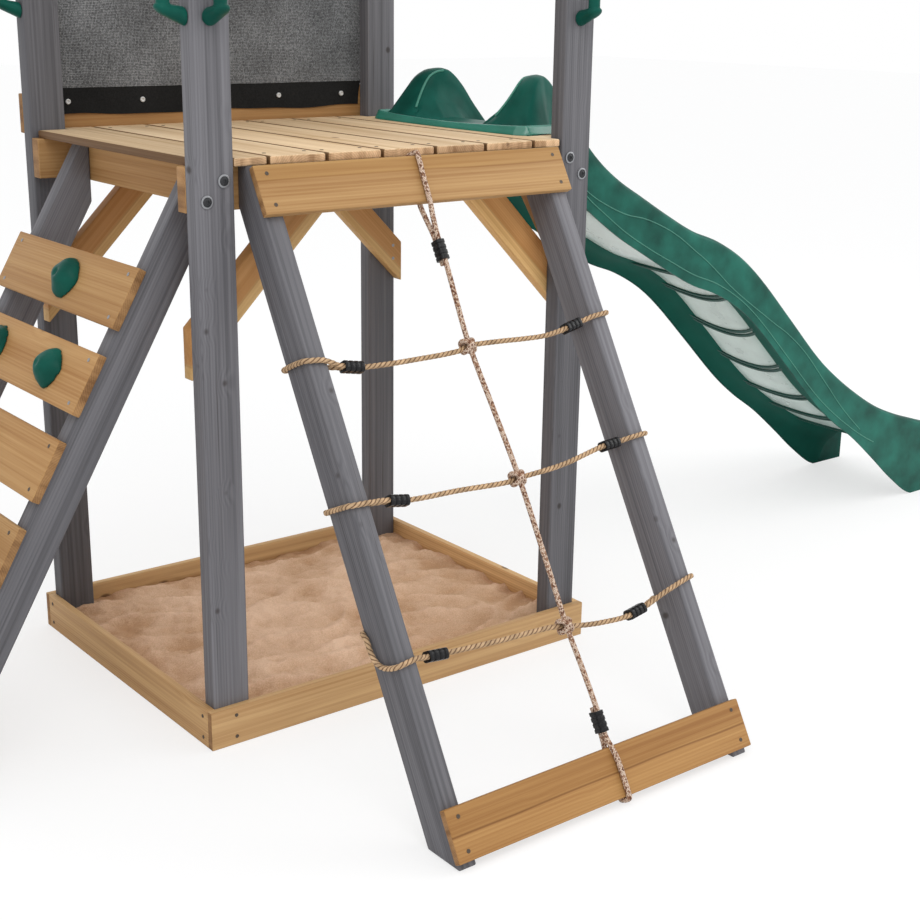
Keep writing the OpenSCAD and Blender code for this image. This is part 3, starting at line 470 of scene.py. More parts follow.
def timber_finish(name, pale, deep, knot, bands=0.95, heart=None, end_grain=False, cracks=0.0,
                  knots=(6, 13, 13), knot_share=0.34):
    """Sawn softwood between a pale and a deep colour, with growth lines, fibres and knots."""
    finish, tree, shader = new_finish(name, specular=0.3)
    grain = add_node(tree, "ShaderNodeAttribute", attribute_name="grain").outputs["Vector"]
    # This attribute scales the colour: a random tone, or on listed sticks partly painted light and shade.
    tone_and_painted_light = add_node(tree, "ShaderNodeAttribute", attribute_name="tone_and_painted_light").outputs["Fac"]

    def noise_at(*factors, detail=2.0):
        """Noise that is drawn out by factors along, across and into the stick."""
        return noise_of(tree, stretched(tree, grain, factors), 1.0, detail)

    cells = add_node(tree, "ShaderNodeTexVoronoi", {"Vector": stretched(tree, grain, knots), "Scale": 1.0})
    picked = add_node(tree, "ShaderNodeSeparateColor", {0: cells.outputs["Color"]}).outputs[0]
    knotty = remap(tree, picked, 1 - knot_share, 1.02 - knot_share)
    cells = cells.outputs["Distance"]
    push = calculate(tree, "MULTIPLY", remap(tree, cells, 0.45, 0.05, 0.0, 0.004, smooth=True), knotty)
    drawn_out = stretched(tree, grain, (0.03, 1, 1))
    bent = add_node(tree, "ShaderNodeVectorMath", {0: drawn_out, 1: push}, operation="ADD").outputs[0]
    tree_rings = {"Vector": bent, "Scale": band_unit / ring_gap, "Distortion": 1.6, "Detail": 2.0,
                  "Detail Scale": 0.3}
    rings = add_node(tree, "ShaderNodeTexWave", tree_rings, wave_type="RINGS", rings_direction="X")
    rings = rings.outputs["Fac"]
    fibre = noise_at(4, 430, 430, detail=3.0)
    streak = noise_at(1, 55, 7) if end_grain else noise_at(1.3, 85, 85, detail=3.0)
    band = noise_at(0.7, 15, 15)
    tint = calculate(tree, "MULTIPLY_ADD", rings, ring_share, 0.5 - ring_share / 2)
    for source, weight in ((fibre, 0.40), (streak, 1.2 if end_grain else 0.85), (band, bands)):
        tint = calculate(tree, "MULTIPLY_ADD", calculate(tree, "SUBTRACT", source, 0.5), weight, tint)
    colour = colour_ramp(tree, tint, (0.2, pale), (0.8, deep))
    if heart:
        middle, half_wide, heart_tint, line_tint = heart
        local = add_node(tree, "ShaderNodeAttribute", attribute_name="own_place").outputs["Vector"]
        across = add_node(tree, "ShaderNodeSeparateXYZ", {0: local}).outputs[1]
        off_middle = calculate(tree, "SUBTRACT", across, middle + heart_wander / 2)
        wander = calculate(tree, "MULTIPLY_ADD", noise_at(2.2, 6, 6), heart_wander, off_middle)
        depth = calculate(tree, "ABSOLUTE", wander)
        edge = remap(tree, depth, half_wide - 0.002, half_wide + 0.002, smooth=True)
        colour = blend(tree, edge, colour, heart_tint, "MULTIPLY")
        off_line = calculate(tree, "ABSOLUTE", calculate(tree, "SUBTRACT", depth, half_wide - 0.002))
        line = remap(tree, off_line, line_half, 0.0, 0.0, 0.8, smooth=True)
        colour = blend(tree, line, colour, line_tint, "MULTIPLY")
    spots = calculate(tree, "MULTIPLY", remap(tree, cells, 0.13, 0.05, 0.0, 0.85, smooth=True), knotty)
    colour = blend(tree, spots, colour, knot)
    if cracks:
        shake = remap(tree, noise_at(2.0, 210, 210, detail=1.0), 0.70, 0.76, 0.0, cracks, smooth=True)
        colour = blend(tree, shake, colour, knot)
    colour = brightened(tree, colour, tone_and_painted_light)
    tree.links.new(colour, shader.inputs["Base Color"])
    raise_grain(tree, shader, calculate(tree, "MULTIPLY_ADD", fibre, 0.8, rings), 0.3, 0.0005)
    sheen = remap(tree, fibre, 0.2, 0.8, timber_rough - 0.08, timber_rough + 0.12)
    tree.links.new(sheen, shader.inputs["Roughness"])
    return finish


print("rings every", ring_gap, "m")

# %% Timbers of the frame
knot_brown = (0.10, 0.045, 0.02)
stain = timber_finish("grey stained timber", (0.192, 0.188, 0.203), (0.090, 0.088, 0.096),
                      (0.040, 0.032, 0.030), bands=0.7, cracks=0.45, knots=(11, 13, 8), knot_share=0.6)
stain_end = timber_finish("grey stained end", (0.11, 0.11, 0.12), (0.045, 0.045, 0.05), (0.03, 0.03, 0.03),
                          end_grain=True)
deck_top_wood = timber_finish("pale deck timber", (0.84, 0.64, 0.415), (0.53, 0.345, 0.175),
                              (0.20, 0.10, 0.045), bands=0.85)
deck_gap_wood = timber_finish("deck edge timber", (0.21, 0.115, 0.048), (0.14, 0.07, 0.028), knot_brown)
deck_end_wood = timber_finish("deck end grain", (0.78, 0.52, 0.30), (0.34, 0.19, 0.09), knot_brown,
                              end_grain=True)
honey = timber_finish("honey timber", (0.47, 0.275, 0.112), (0.32, 0.155, 0.05), knot_brown)
honey_end = timber_finish("honey end grain", (0.40, 0.22, 0.09), (0.18, 0.085, 0.03), knot_brown,
                          end_grain=True)
rosy = timber_finish("net board timber", (0.425, 0.245, 0.088), (0.285, 0.138, 0.040), knot_brown,
                     heart=(0.055, 0.036, (1.05, 1.09, 1.26), (0.74, 0.66, 0.58)), knot_share=0.0)
two_tone = timber_finish("bottom board timber", (0.405, 0.218, 0.072), (0.27, 0.122, 0.034), knot_brown,
                         heart=(0.055, 0.058, (1.14, 1.18, 1.26), (0.50, 0.40, 0.32)))
pit_wood = timber_finish("pit board timber", (0.62, 0.40, 0.19), (0.39, 0.21, 0.085), knot_brown)
# The braces stay pale along the middle of their width and are painted darker and redder towards their edges
# and narrow faces: painted shade, as under the deck.
brace_wood_painted_edges = timber_finish("brace timber", (0.68, 0.44, 0.195), (0.52, 0.30, 0.108), knot_brown,
                      heart=(0.004, 0.021, (0.80, 0.64, 0.54), (0.74, 0.66, 0.58)))
print("timber finishes", [m.name for m in bpy.data.materials if "timber" in m.name])

# %% [markdown]
# ## Sticks and boards
# A sawn stick is planed and its edges are eased by a few passes of sandpaper. Each one starts from a
# copy of its solid, whose triangles are merged back into flat faces. A bevel eases all its edges, and
# the end faces get a darker end-grain finish, because open pores drink more stain.

# %% Shades and copies
chance = random.Random(7)
# Listed sticks get a fixed brightness in place of a random tone: partly their own stain, partly painted light
# and shade, lighter or darker as light falls on each.
stick_light_and_stain = {"post_front_left": 1.11, "post_front_right": 0.86, "post_back_left": 0.72,
               "post_back_right": 0.87, "net_leg_left": 0.95, "net_leg_right": 1.14, "brace_front_left": 0.95,
               "brace_front_right": 1.34, "brace_back_right": 0.97, "pit_board_right": 1.25}
X, Y, Z = Vector((1, 0, 0)), Vector((0, 1, 0)), Vector((0, 0, 1))


def only(obj):
    """Select one object alone and make it the active one."""
    bpy.ops.object.select_all(action="DESELECT")
    obj.select_set(True)
    bpy.context.view_layer.objects.active = obj


def copy_of_solid(node, name):
    """A bare copy of a solid with its doubled points merged, left in edit mode with all selected."""
    mesh = solids[node].data.copy()
    mesh.materials.clear()
    piece = linked(name, mesh)
    only(piece)
    bpy.ops.object.mode_set(mode="EDIT")
    bpy.ops.mesh.select_all(action="SELECT")
    bpy.ops.mesh.remove_doubles(threshold=0.00002)
    return piece


print("sticks with a shade of their own", len(stick_light_and_stain))

# %% Make a stick
def stick(node, along, across, finishes, ease=0.0025):
    """A timber piece in place of a solid, with eased edges and the coordinates of its own grain."""
    piece = copy_of_solid(node, node + "_timber")
    bpy.ops.mesh.dissolve_limited(angle_limit=math.radians(0.5))
    bpy.ops.mesh.select_all(action="SELECT")
    bpy.ops.mesh.bevel(offset=ease, segments=3, affect="EDGES", clamp_overlap=True)
    bpy.ops.object.mode_set(mode="OBJECT")
    mesh = piece.data
    along, across = Vector(along).normalized(), Vector(across).normalized()
    depth = along.cross(across)
    low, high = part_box(node)
    middle = (low + high) / 2
    start = Vector((chance.uniform(0, 40), chance.choice((-1, 1)) * chance.uniform(0.02, 0.08),
                    chance.choice((-1, 1)) * chance.uniform(0.04, 0.12)))
    # On listed sticks this brightness is partly painted light and shade; the others get a random tone.
    shade = stick_light_and_stain.get(node, 0.88 + 0.24 * chance.random())
    for attribute in ("grain", "own_place"):
        mesh.attributes.new(attribute, "FLOAT_VECTOR", "POINT")
    mesh.attributes.new("tone_and_painted_light", "FLOAT", "POINT")
    for i, v in enumerate(mesh.vertices):
        p = v.co - middle
        own = Vector((p.dot(along), p.dot(across), p.dot(depth)))
        mesh.attributes["own_place"].data[i].vector = own
        mesh.attributes["grain"].data[i].vector = own + start
        mesh.attributes["tone_and_painted_light"].data[i].value = shade
    for finish in finishes:
        mesh.materials.append(finish)
    for face in mesh.polygons:
        if abs(face.normal.dot(along)) > 0.75:
            face.material_index = 1
        elif len(finishes) > 2 and abs(face.normal.dot(across)) > 0.2:
            face.material_index = 2
    bpy.ops.object.shade_smooth_by_angle(angle=math.radians(50))
    set_on_frame(piece, node)


print("ready for", sum("post" in name or "beam" in name for name in solids), "posts and beams")

# %% Frame timber
wall_angle = math.radians(59.8)
wall_up = Vector((math.cos(wall_angle), 0, math.sin(wall_angle)))
stained = (stain, stain_end)
plain = (honey, honey_end)
for side in ("front_left", "front_right", "back_left", "back_right"):
    stick("post_" + side, Z, X, stained, 0.004)
for side in ("left", "right"):
    stick("net_leg_" + side, net_up, X, stained, 0.004)
for side in ("front", "back"):
    stick("wall_rail_" + side, wall_up, Y, stained, 0.004)
    stick("beam_" + side, X, Z, plain)
for side in ("left", "right"):
    stick("beam_" + side, Y, Z, plain)
for side in ("front_left", "front_right", "back_left", "back_right"):
    lean = 1 if "left" in side else -1
    # The brace finish paints shade on the edges and narrow faces.
    stick("brace_" + side, (lean, 0, 1), (-lean, 0, 1), (brace_wood_painted_edges, honey_end))
for side in ("front", "back"):
    stick(f"side_brace_{side}_right", (0, 1 if side == "front" else -1, 1.2), X, plain)

# %% Boards
for i in range(1, 8):
    stick(f"deck_plank_{i}", Y, X, (deck_top_wood, deck_end_wood, deck_gap_wood), 0.0034)
for side in ("front", "back"):
    stick("pit_board_" + side, X, Z, (pit_wood, honey_end), 0.002)
for side in ("left", "right"):
    stick("pit_board_" + side, Y, Z, (pit_wood, honey_end), 0.002)
for side in ("top", "bottom"):
    face_wood = rosy if side == "top" else two_tone
    stick("net_board_" + side, X, net_up, (face_wood, honey_end), 0.003)
for i in range(1, 7):
    stick(f"wall_plank_{i}", Y, wall_up, plain)
for side in ("lower", "upper"):
    stick("guard_rail_" + side, X, Z, plain)

# %% [markdown]
# ## Plastics and metal
# The slide, grips and holds are the same dark green polyethylene, slightly orange-peeled from its
# mould. The slide's underside came paler from the mould and shines, with painted shade towards its
# walls. Its outer walls, its lip and its beads are painted paler as painted light and highlights.
# Clamps are black moulded nylon, and the steel is zinc-plated.

# %% Moulded and metal finishes
def moulded_finish(name, colour, rough, specular=0.3, peel=0.12, scale=190.0, fade=0.12, sides=None):
    """Moulded plastic with a fine orange-peel skin and faint fading, and painted shade in another colour at
    its sides.
    """
    finish, tree, shader = new_finish(name, specular=specular)
    place = object_place(tree)
    skin = noise_of(tree, place, scale)
    cloud = noise_of(tree, place, 11.0, 5.0)
    faded = brightened(tree, colour, remap(tree, cloud, 0.3, 0.7, 1 - fade, 1 + fade))
    # The blend towards the sides paints shade where the bed meets the walls.
    if sides:
        across = calculate(tree, "ABSOLUTE", add_node(tree, "ShaderNodeSeparateXYZ", {0: place}).outputs[1])
        faded = blend(tree, remap(tree, across, 0.05, 0.165, 0.0, 0.75, smooth=True), faded, sides)
    tree.links.new(faded, shader.inputs["Base Color"])
    tree.links.new(remap(tree, cloud, 0, 1, rough - 0.06, rough + 0.08), shader.inputs["Roughness"])
    raise_grain(tree, shader, skin, peel, 0.0008)
    return finish


green_skin = moulded_finish("dark green plastic", (0.006, 0.078, 0.058), 0.36, specular=0.08, fade=0.32)
# The outer walls' paler green is painted light.
lit_green_wall = moulded_finish("paler green wall, painted light", (0.014, 0.108, 0.080), 0.38, specular=0.13, fade=0.4)
# The lip's paler green is painted light on its roll.
green_lip = moulded_finish("paler green lip, painted light", (0.032, 0.205, 0.15), 0.22, specular=0.85)
green_rib = moulded_finish("shaded green rib", (0.006, 0.06, 0.045), 0.5)
green_cove = moulded_finish("green cove", (0.007, 0.085, 0.062), 0.6, specular=0.05)
# The beads' pale green is a painted highlight.
highlight_green_bead = moulded_finish("pale green bead, painted highlight", (0.06, 0.235, 0.175), 0.4)
# The underside turns greener towards the walls: painted shade.
green_under = moulded_finish("pale slide underside", (0.56, 0.66, 0.62), 0.28, specular=0.5,
                             sides=(0.26, 0.40, 0.35))
black_nylon = moulded_finish("black nylon", (0.005, 0.005, 0.006), 0.2, peel=0.8, scale=420)
button_nylon = moulded_finish("pale nylon button", (0.55, 0.55, 0.54), 0.4, fade=0.04)
bolt_black = moulded_finish("dark bolt head", (0.03, 0.031, 0.034), 0.4, peel=0.2, scale=600)


def steel_finish(name, colour, metallic):
    """Plated steel with fine spangle in its gloss."""
    finish, tree, shader = new_finish(name)
    flake = noise_of(tree, object_place(tree), 900.0)
    spangle = brightened(tree, colour, remap(tree, flake, 0.2, 0.8, 0.7, 1.2))
    tree.links.new(remap(tree, flake, 0.2, 0.8, 0.28, 0.55), shader.inputs["Roughness"])
    tree.links.new(spangle, shader.inputs["Base Color"])
    shader.inputs["Metallic"].default_value = metallic
    return finish


zinc = steel_finish("zinc-plated steel", (0.33, 0.335, 0.35), 0.9)
sunk_screw = steel_finish("screw head in shade", (0.10, 0.075, 0.055), 0.4)
print("moulded and metal finishes made")

# %% [markdown]
# ## The slide
# The slide is one blow-moulded shell: two hollow side walls with rolled rims, a bed between them and
# a lip that lies on the deck. A grid is laid along the run, and every row of it is bent into the same
# section, a skirt, a wall, a rim, the bed and back again, at the height that the wave has there. The
# walls flare at their feet near the deck. Solidify then gives the sheet its thickness.

# %% Slide wave
deck_edge = 0.545
deck_top = 1.32
bed_thick = 0.012
wall_lead = 0.110
brow_share = 0.04
slide_run = 1.95
wall_rise = 0.105
skirt_drop = 0.052
slide_rows = [
    (-0.060, 1.000, 0.02, 0), (-0.045, 1.000, 0.34, 0), (-0.030, 1.000, 0.70, 0),
    (-0.015, 1.000, 1.05, 0), (0.000, 1.000, 1.20, 0), (0.020, 1.000, 1.23, 0.4),
    (0.040, 0.983, 1.18, 1), (0.060, 0.950, 1.13, 1), (0.080, 0.914, 1.16, 1),
    (0.105, 0.875, 1.12, 1), (0.135, 0.842, 1.03, 1), (0.170, 0.808, 1.00, 1),
    (0.210, 0.775, 1.00, 1), (0.265, 0.730, 1.00, 1), (0.320, 0.689, 1.00, 1),
    (0.375, 0.660, 1.00, 1), (0.430, 0.617, 1.00, 1), (0.480, 0.560, 1.00, 1),
    (0.550, 0.463, 1.00, 1), (0.625, 0.358, 1.00, 1), (0.680, 0.294, 1.00, 1),
    (0.740, 0.236, 1.00, 1), (0.800, 0.187, 1.00, 1.5), (0.860, 0.151, 1.00, 2.4),
    (0.920, 0.127, 0.95, 4), (0.970, 0.116, 0.80, 4), (1.000, 0.113, 0.55, 4)]


def slide_place(share, bed_share, rim_share, skirt_share):
    """Run, bed height, rim height and skirt height of one row of the table, in metres."""
    x = deck_edge + (share * wall_lead / -slide_rows[0][0] if share < 0 else share * slide_run)
    bed = bed_share * deck_top + bed_thick * min(1.0, max(0.0, 1 - share / brow_share))
    low = deck_top + 0.001 if share <= 0 else max(0.0, min(bed - bed_thick, bed - skirt_share * skirt_drop))
    return x, bed, bed + rim_share * wall_rise, low


slide_places = [slide_place(*row) for row in slide_rows]


def slide_at(t):
    """Run, bed height, rim height and skirt height at a share t of the table's length."""
    place = t * (len(slide_places) - 1)
    i = min(int(place), len(slide_places) - 2)
    f = place - i
    a, b = slide_places[max(i - 1, 0)], slide_places[i]
    c, d = slide_places[i + 1], slide_places[min(i + 2, len(slide_places) - 1)]
    values = []
    for p, q, r, s in zip(a, b, c, d):
        bend = (2 * p - 5 * q + 4 * r - s) * f * f + (3 * q - p - 3 * r + s) * f ** 3
        values.append(max(0.0, q + 0.5 * ((r - p) * f + bend)))
    return values


rise_steps = 260
rise = [slide_at(i / rise_steps) for i in range(rise_steps + 1)]


def slide_near(x):
    """Bed, rim and skirt heights at a place along the slide."""
    for first, second in zip(rise, rise[1:]):
        if first[0] <= x <= second[0]:
            f = (x - first[0]) / max(second[0] - first[0], 1e-9)
            return [p + (q - p) * f for p, q in zip(first[1:], second[1:])]
    return rise[-1][1:]


print("slide from", [round(v, 3) for v in rise[0]], "to", [round(v, 3) for v in rise[-1]])

# %% Slide section
half = 0.2185
inner = 0.174
rim_round = 0.014
flare_foot, flare_rim, flare_front = 0.050, 0.020, 0.042
inner_front, inner_lean, lean_full = 0.026, 0.050, 0.11
fillet_most, wall_draft = 0.05, 0.003
outer_shares = (0, 0.08, 0.18, 0.3, 0.45, 0.62, 0.8, 1.0)
bed_places = (0.085, 0.06, 0.03, 0.0)


def share_before(x, end, length):
    """How far a place lies before an end, as a share of a length from 0 to 1."""
    return min(1.0, max(0.0, (end - x) / length))


def slide_section(x, bed, rim, low):
    """Half a section from the skirt over the rim to the middle of the bed, as (across, up)."""
    wall = rim - bed
    roll = min(rim_round, 0.45 * wall)
    fade = share_before(x, deck_edge + 0.10, 0.12)
    fade = fade * fade * (3 - 2 * fade)
    front = share_before(x, deck_edge + 0.02, 0.10)
    outer = half + flare_rim * fade + flare_front * front
    base = inner - inner_front * front
    within = base + inner_lean * front * min(1.0, wall / lean_full)
    points = [(outer + flare_foot * fade * (1 - up) ** 1.15, low + up * (rim - roll - low))
              for up in outer_shares]
    for k in range(1, 6):
        angle = math.pi * k / 6
        across = (outer + within) / 2 + (outer - within) / 2 * math.cos(angle)
        points.append((across, rim - roll + roll * math.sin(angle)))
    fillet = min(fillet_most, 0.5 * wall)
    foot = base - 2 * wall_draft
    points += [(within, rim - roll), (0.7 * within + 0.3 * base - wall_draft, bed + 0.7 * wall),
               (foot, bed + fillet)]
    for k in range(1, 5):
        bend = math.sin(math.pi / 2 * k / 4)
        points.append((foot - 0.9 * fillet * bend, bed + 0.9 * fillet * (1 - bend)))
    return points + [(across, bed) for across in bed_places]


half_count = len(slide_section(1, 1, 1.1, 0.95))
section_count = 2 * half_count - 1
print("section points", section_count)

# %% Sheets with a wall
def shaped_grid(name, columns, rows, place):
    """A grid whose points are moved to place(i, j), as (x, y, z)."""
    sheet = added(bpy.ops.mesh.primitive_grid_add, name, x_subdivisions=columns, y_subdivisions=rows, size=1)
    order = sorted(sheet.data.vertices, key=lambda v: (round(v.co.x, 5), round(v.co.y, 5)))
    for n, v in enumerate(order):
        v.co = place(*divmod(n, rows + 1))
    return sheet


def apply_modifier(piece, kind, **settings):
    """Put one modifier on a piece and apply it."""
    only(piece)
    made = piece.modifiers.new(kind.lower(), kind)
    for key, value in settings.items():
        setattr(made, key, value)
    bpy.ops.object.modifier_apply(modifier=made.name)


def thicken(sheet, thickness, toward):
    """Give a sheet a wall on the side away from a direction, and smooth it."""
    only(sheet)
    bpy.ops.object.mode_set(mode="EDIT")
    bpy.ops.mesh.select_all(action="SELECT")
    bpy.ops.mesh.normals_make_consistent(inside=False)
    bpy.ops.object.mode_set(mode="OBJECT")
    if sum((f.normal * f.area for f in sheet.data.polygons), Vector()).dot(toward) < 0:
        sheet.data.flip_normals()
    apply_modifier(sheet, "SOLIDIFY", thickness=thickness, offset=-1)
    bpy.ops.object.shade_smooth_by_angle(angle=math.radians(50))


def moulding(piece, *finishes):
    """Dress a piece of the green moulding and let it ride."""
    piece.data.materials.clear()
    for finish in finishes:
        piece.data.materials.append(finish)
    set_on_frame(piece)


print("sheet helpers ready")

# %% Slide shell
length_steps = 170
shell_thick = 0.005
under_half, under_start, wall_start = 0.17, 0.03, 0.06


def shell_point(i, j):
    """A point of the shell, from its row along the run and its place in the section."""
    x, bed, rim, low = slide_at(i / length_steps)
    section = slide_section(x, bed, rim, low)
    side, height = section[j] if j < half_count else section[section_count - 1 - j]
    return x, -side if j < half_count else side, height


slide = shaped_grid("slide_shell", length_steps, section_count - 1, shell_point)
thicken(slide, shell_thick, Z)
moulding(slide, green_skin, green_under, lit_green_wall)
# Faces under the bed take the pale underside; the outer wall faces take a paler green, which is painted
# light.
for face in slide.data.polygons:
    past_deck, aside = face.center.x - deck_edge, abs(face.center.y)
    if face.normal.z < -0.4 and aside < under_half and past_deck > under_start:
        face.material_index = 1
    elif abs(face.normal.y) > 0.5 and aside > half - 0.004 and past_deck > wall_start:
        face.material_index = 2
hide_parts("slide")
print("slide shell", len(slide.data.polygons), "faces")

# %% [markdown]
# The lip lies on the deck with a bowed front edge that is rolled over. Under the bed a cove runs down
# from the sheet into each skirt, pairs of bowed ribs stiffen it, and thin beads follow the walls' outer
# faces; their pale green is a painted highlight. A wider pale bead along each cheek's front ridge is a
# painted highlight put where the ridge only catches light.

# %% Slide lip
lip_length, lip_half, lip_bow, lip_corner = 0.138, 0.33, 0.012, 0.034
lip_columns, lip_rows = 28, 96
lip_thick, edge_round, swell_place, swell_wide = 0.0095, 0.011, 0.014, 0.010
clearance = 0.0006


def lip_front(y):
    """The lip's front edge before the deck's edge at a place across it."""
    bowed = -lip_length + lip_bow * (y / lip_half) ** 2
    past = abs(y) - (lip_half - lip_corner)
    if past <= 0:
        return bowed
    corner = -(lip_length - lip_bow) + lip_corner
    return max(bowed, corner - math.sqrt(max(0.0, lip_corner ** 2 - past ** 2)))


def lip_point(i, j):
    """A point of the lip, which swells a little behind its rolled edge."""
    y = lip_half * math.sin(math.pi / 2 * (2 * j / lip_rows - 1)) * 0.999
    front = lip_front(y)
    share = (i / lip_columns) ** 2
    x = front + share * (-0.002 - front)
    edge = min(x - front, lip_half - abs(y))
    roll = min(1.0, edge / edge_round)
    swell = 0.006 + 0.009 * (y / lip_half) ** 2
    crest = swell * math.exp(-((edge - swell_place) / swell_wide) ** 2) * roll
    height = lip_thick * math.sqrt(max(0.0, 1 - (1 - roll) ** 2)) + crest
    return deck_edge + x, y, deck_top + clearance + height


lip = shaped_grid("slide_lip", lip_columns, lip_rows, lip_point)
thicken(lip, 0.0004, Z)
moulding(lip, green_lip)
print("slide lip", len(lip.data.polygons), "faces")

# %% Coves and ribs
def join_all(pieces, name):
    """Join pieces into one object with a name."""
    bpy.ops.object.select_all(action="DESELECT")
    for piece in pieces:
        piece.select_set(True)
    bpy.context.view_layer.objects.active = pieces[0]
    if len(pieces) > 1:
        bpy.ops.object.join()
    whole = bpy.context.active_object
    whole.name = name
    return whole


cove_steps, cove_rows = 110, 8
cove_foot, cove_head = 0.2105, 0.115
cove_start, cove_end, cove_bow = 0.63, 2.36, 0.35
coves = []
for side in (-1, 1):
    def cove_point(i, j, side=side):
        """A point of the cove from a skirt's foot to the bed."""
        x = cove_start + (cove_end - cove_start) * i / cove_steps
        bed, _, low = slide_near(x)
        t = j / cove_rows
        bow = cove_bow * math.sin(math.pi * t)
        y = cove_foot + (cove_head - cove_foot) * t
        z = low + 0.002 + (bed - 0.0085 - low) * min(1.0, t + bow * (1 - t))
        return x, side * y, z
    coves.append(shaped_grid("cove", cove_steps, cove_rows, cove_point))
    thicken(coves[-1], 0.002, -Z)
coves = join_all(coves, "slide_coves")
moulding(coves, green_cove)

ribs = []
rib_first, rib_pitch, rib_count = 1.305, 0.141, 7
rib_half, rib_wide, rib_tall, rib_bow, rib_apart, rib_steps = 0.15, 0.008, 0.0082, 1.9, 0.0075, 26
for n in range(rib_count):
    for pair in (-rib_apart, rib_apart):
        def rib_point(i, j, n=n, pair=pair):
            """A point of one bowed rib under the bed."""
            y = rib_half * (2 * j / rib_steps - 1)
            x = rib_first + rib_pitch * n + pair - rib_bow * y * y + (i - 0.5) * rib_wide
            return x, y, slide_near(x)[0] - shell_thick - rib_tall
        ribs.append(shaped_grid("rib", 1, rib_steps, rib_point))
        thicken(ribs[-1], rib_tall, -Z)
ribs = join_all(ribs, "slide_ribs")
moulding(ribs, green_rib)
print("coves and ribs", len(coves.data.polygons), len(ribs.data.polygons), "faces")

# %% Beads
bead_reach, ridge_reach, bead_step = 0.0016, 0.0034, 0.012
ridge_corner = 12
ridge_places = (-0.085, -0.065, -0.045, -0.025, -0.005, 0.015)
low_line = [(0.66, -0.024), (0.80, -0.021), (0.95, -0.027), (1.10, -0.021), (1.25, -0.021), (1.40, -0.024),
            (1.60, -0.024), (1.80, -0.024), (2.00, -0.024), (2.10, -0.022)]
high_line = [(0.70, -0.014), (0.80, 0.003), (0.90, 0.026), (0.97, 0.048), (1.05, 0.061), (1.12, 0.060),
             (1.20, 0.042), (1.27, 0.015), (1.34, -0.007), (1.42, -0.010), (1.52, 0.012), (1.62, 0.045),
             (1.72, 0.060), (1.82, 0.045), (1.92, 0.015), (2.02, -0.008)]


def add_bead(points, reach=bead_reach):
    """A raised line through points."""
    spine = bpy.data.curves.new("bead", "CURVE")
    spine.dimensions = "3D"
    spine.bevel_depth = reach
    spine.bevel_resolution = 2
    fine = smooth_route(points, bead_step)
    thread = spine.splines.new("POLY")
    thread.points.add(len(fine) - 1)
    for knot, p in zip(thread.points, fine):
        knot.co = (*p, 1)
    bead = linked("bead", spine)
    only(bead)
    bpy.ops.object.convert(target="MESH")
    return bead


beads = []
for side in (-1, 1):
    for line in (low_line, high_line):
        flat = smooth_route([Vector((x, side * (half + clearance), up)) for x, up in line], bead_step)
        beads.append(add_bead([p + Vector((0, 0, slide_near(p.x)[0])) for p in flat]))
    # The ridge bead is a painted highlight along each cheek's front-inner ridge.
    ridge = []
    for back in ridge_places:
        x = deck_edge + back
        across, up = slide_section(x, *slide_near(x))[ridge_corner]
        ridge.append(Vector((x, side * across, up)))
    beads.append(add_bead(ridge, ridge_reach))
beads = join_all(beads, "slide_beads")
bpy.ops.object.shade_smooth()
moulding(beads, highlight_green_bead)
print("beads", len(beads.data.polygons), "faces")

# %% [markdown]
# ## Hand grips and climbing holds
# The grips are one-piece mouldings whose feet flow into the bar, so the joined solid is remeshed and
# smoothed until the corners melt together. The holds start from their domes and are pushed about with
# a soft noise, as cast holds are.

# %% Grips and holds
foot_tall, foot_slope = 0.06, 0.45
lumps_per_metre = 28


def slope_feet(piece, node, outward):
    """Lean the ends of a grip, so that each foot slopes from its post to the bar."""
    low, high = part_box(node)
    middle = (low + high) / 2
    back = min(low.dot(outward), high.dot(outward))
    for v in piece.data.vertices:
        up = v.co.z - middle.z
        near_end = min(1.0, max(0.0, (abs(up) - (high.z - middle.z) + foot_tall) / foot_tall))
        v.co.z -= math.copysign(foot_slope * (v.co.dot(outward) - back) * near_end, up)


def melted(node, name, voxel, passes, lumps=0.0, outward=None):
    """A smooth moulding from a copy of a solid."""
    piece = copy_of_solid(node, name)
    bpy.ops.object.mode_set(mode="OBJECT")
    apply_modifier(piece, "REMESH", mode="VOXEL", voxel_size=voxel)
    apply_modifier(piece, "SMOOTH", factor=0.5, iterations=passes)
    for v in piece.data.vertices:
        v.co += lumps * noise.noise(v.co * lumps_per_metre) * v.normal
    if outward:
        slope_feet(piece, node, outward)
    bpy.ops.object.shade_smooth()
    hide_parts(node)
    moulding(piece, green_skin)


for place in ("front_left", "front_right", "side_front", "side_back"):
    melted("grip_" + place, "hand_grip_" + place, 0.0026, 5, outward=-Y if "front_" in place else -X)
melted("wall_holds", "climbing_holds", 0.0035, 6, lumps=0.006)
print("grips and holds made")

# %% [markdown]
# ## Fasteners, clamps and knots
# Each kind of fastener is modelled once and copied to the places of its solids. The places are read
# from the solid group itself: its loose islands, each with a middle and a facing.

# %% Islands of a group
def islands(node):
    """The middle, facing areas and points of each separate solid in a group."""
    bm = bmesh.new()
    bm.from_mesh(solids[node].data)
    bmesh.ops.remove_doubles(bm, verts=bm.verts, dist=0.00002)
    left, found = set(bm.verts), []
    while left:
        heap, group = [left.pop()], []
        while heap:
            v = heap.pop()
            group.append(v)
            for e in v.link_edges:
                w = e.other_vert(v)
                if w in left:
                    left.remove(w)
                    heap.append(w)
        facing = {}
        for f in {f for v in group for f in v.link_faces}:
            key = tuple(round(c, 2) for c in f.normal)
            facing[key] = facing.get(key, 0) + f.calc_area()
        middle = sum((v.co for v in group), Vector()) / len(group)
        found.append((middle, facing, [v.co.copy() for v in group]))
    bm.free()
    return found


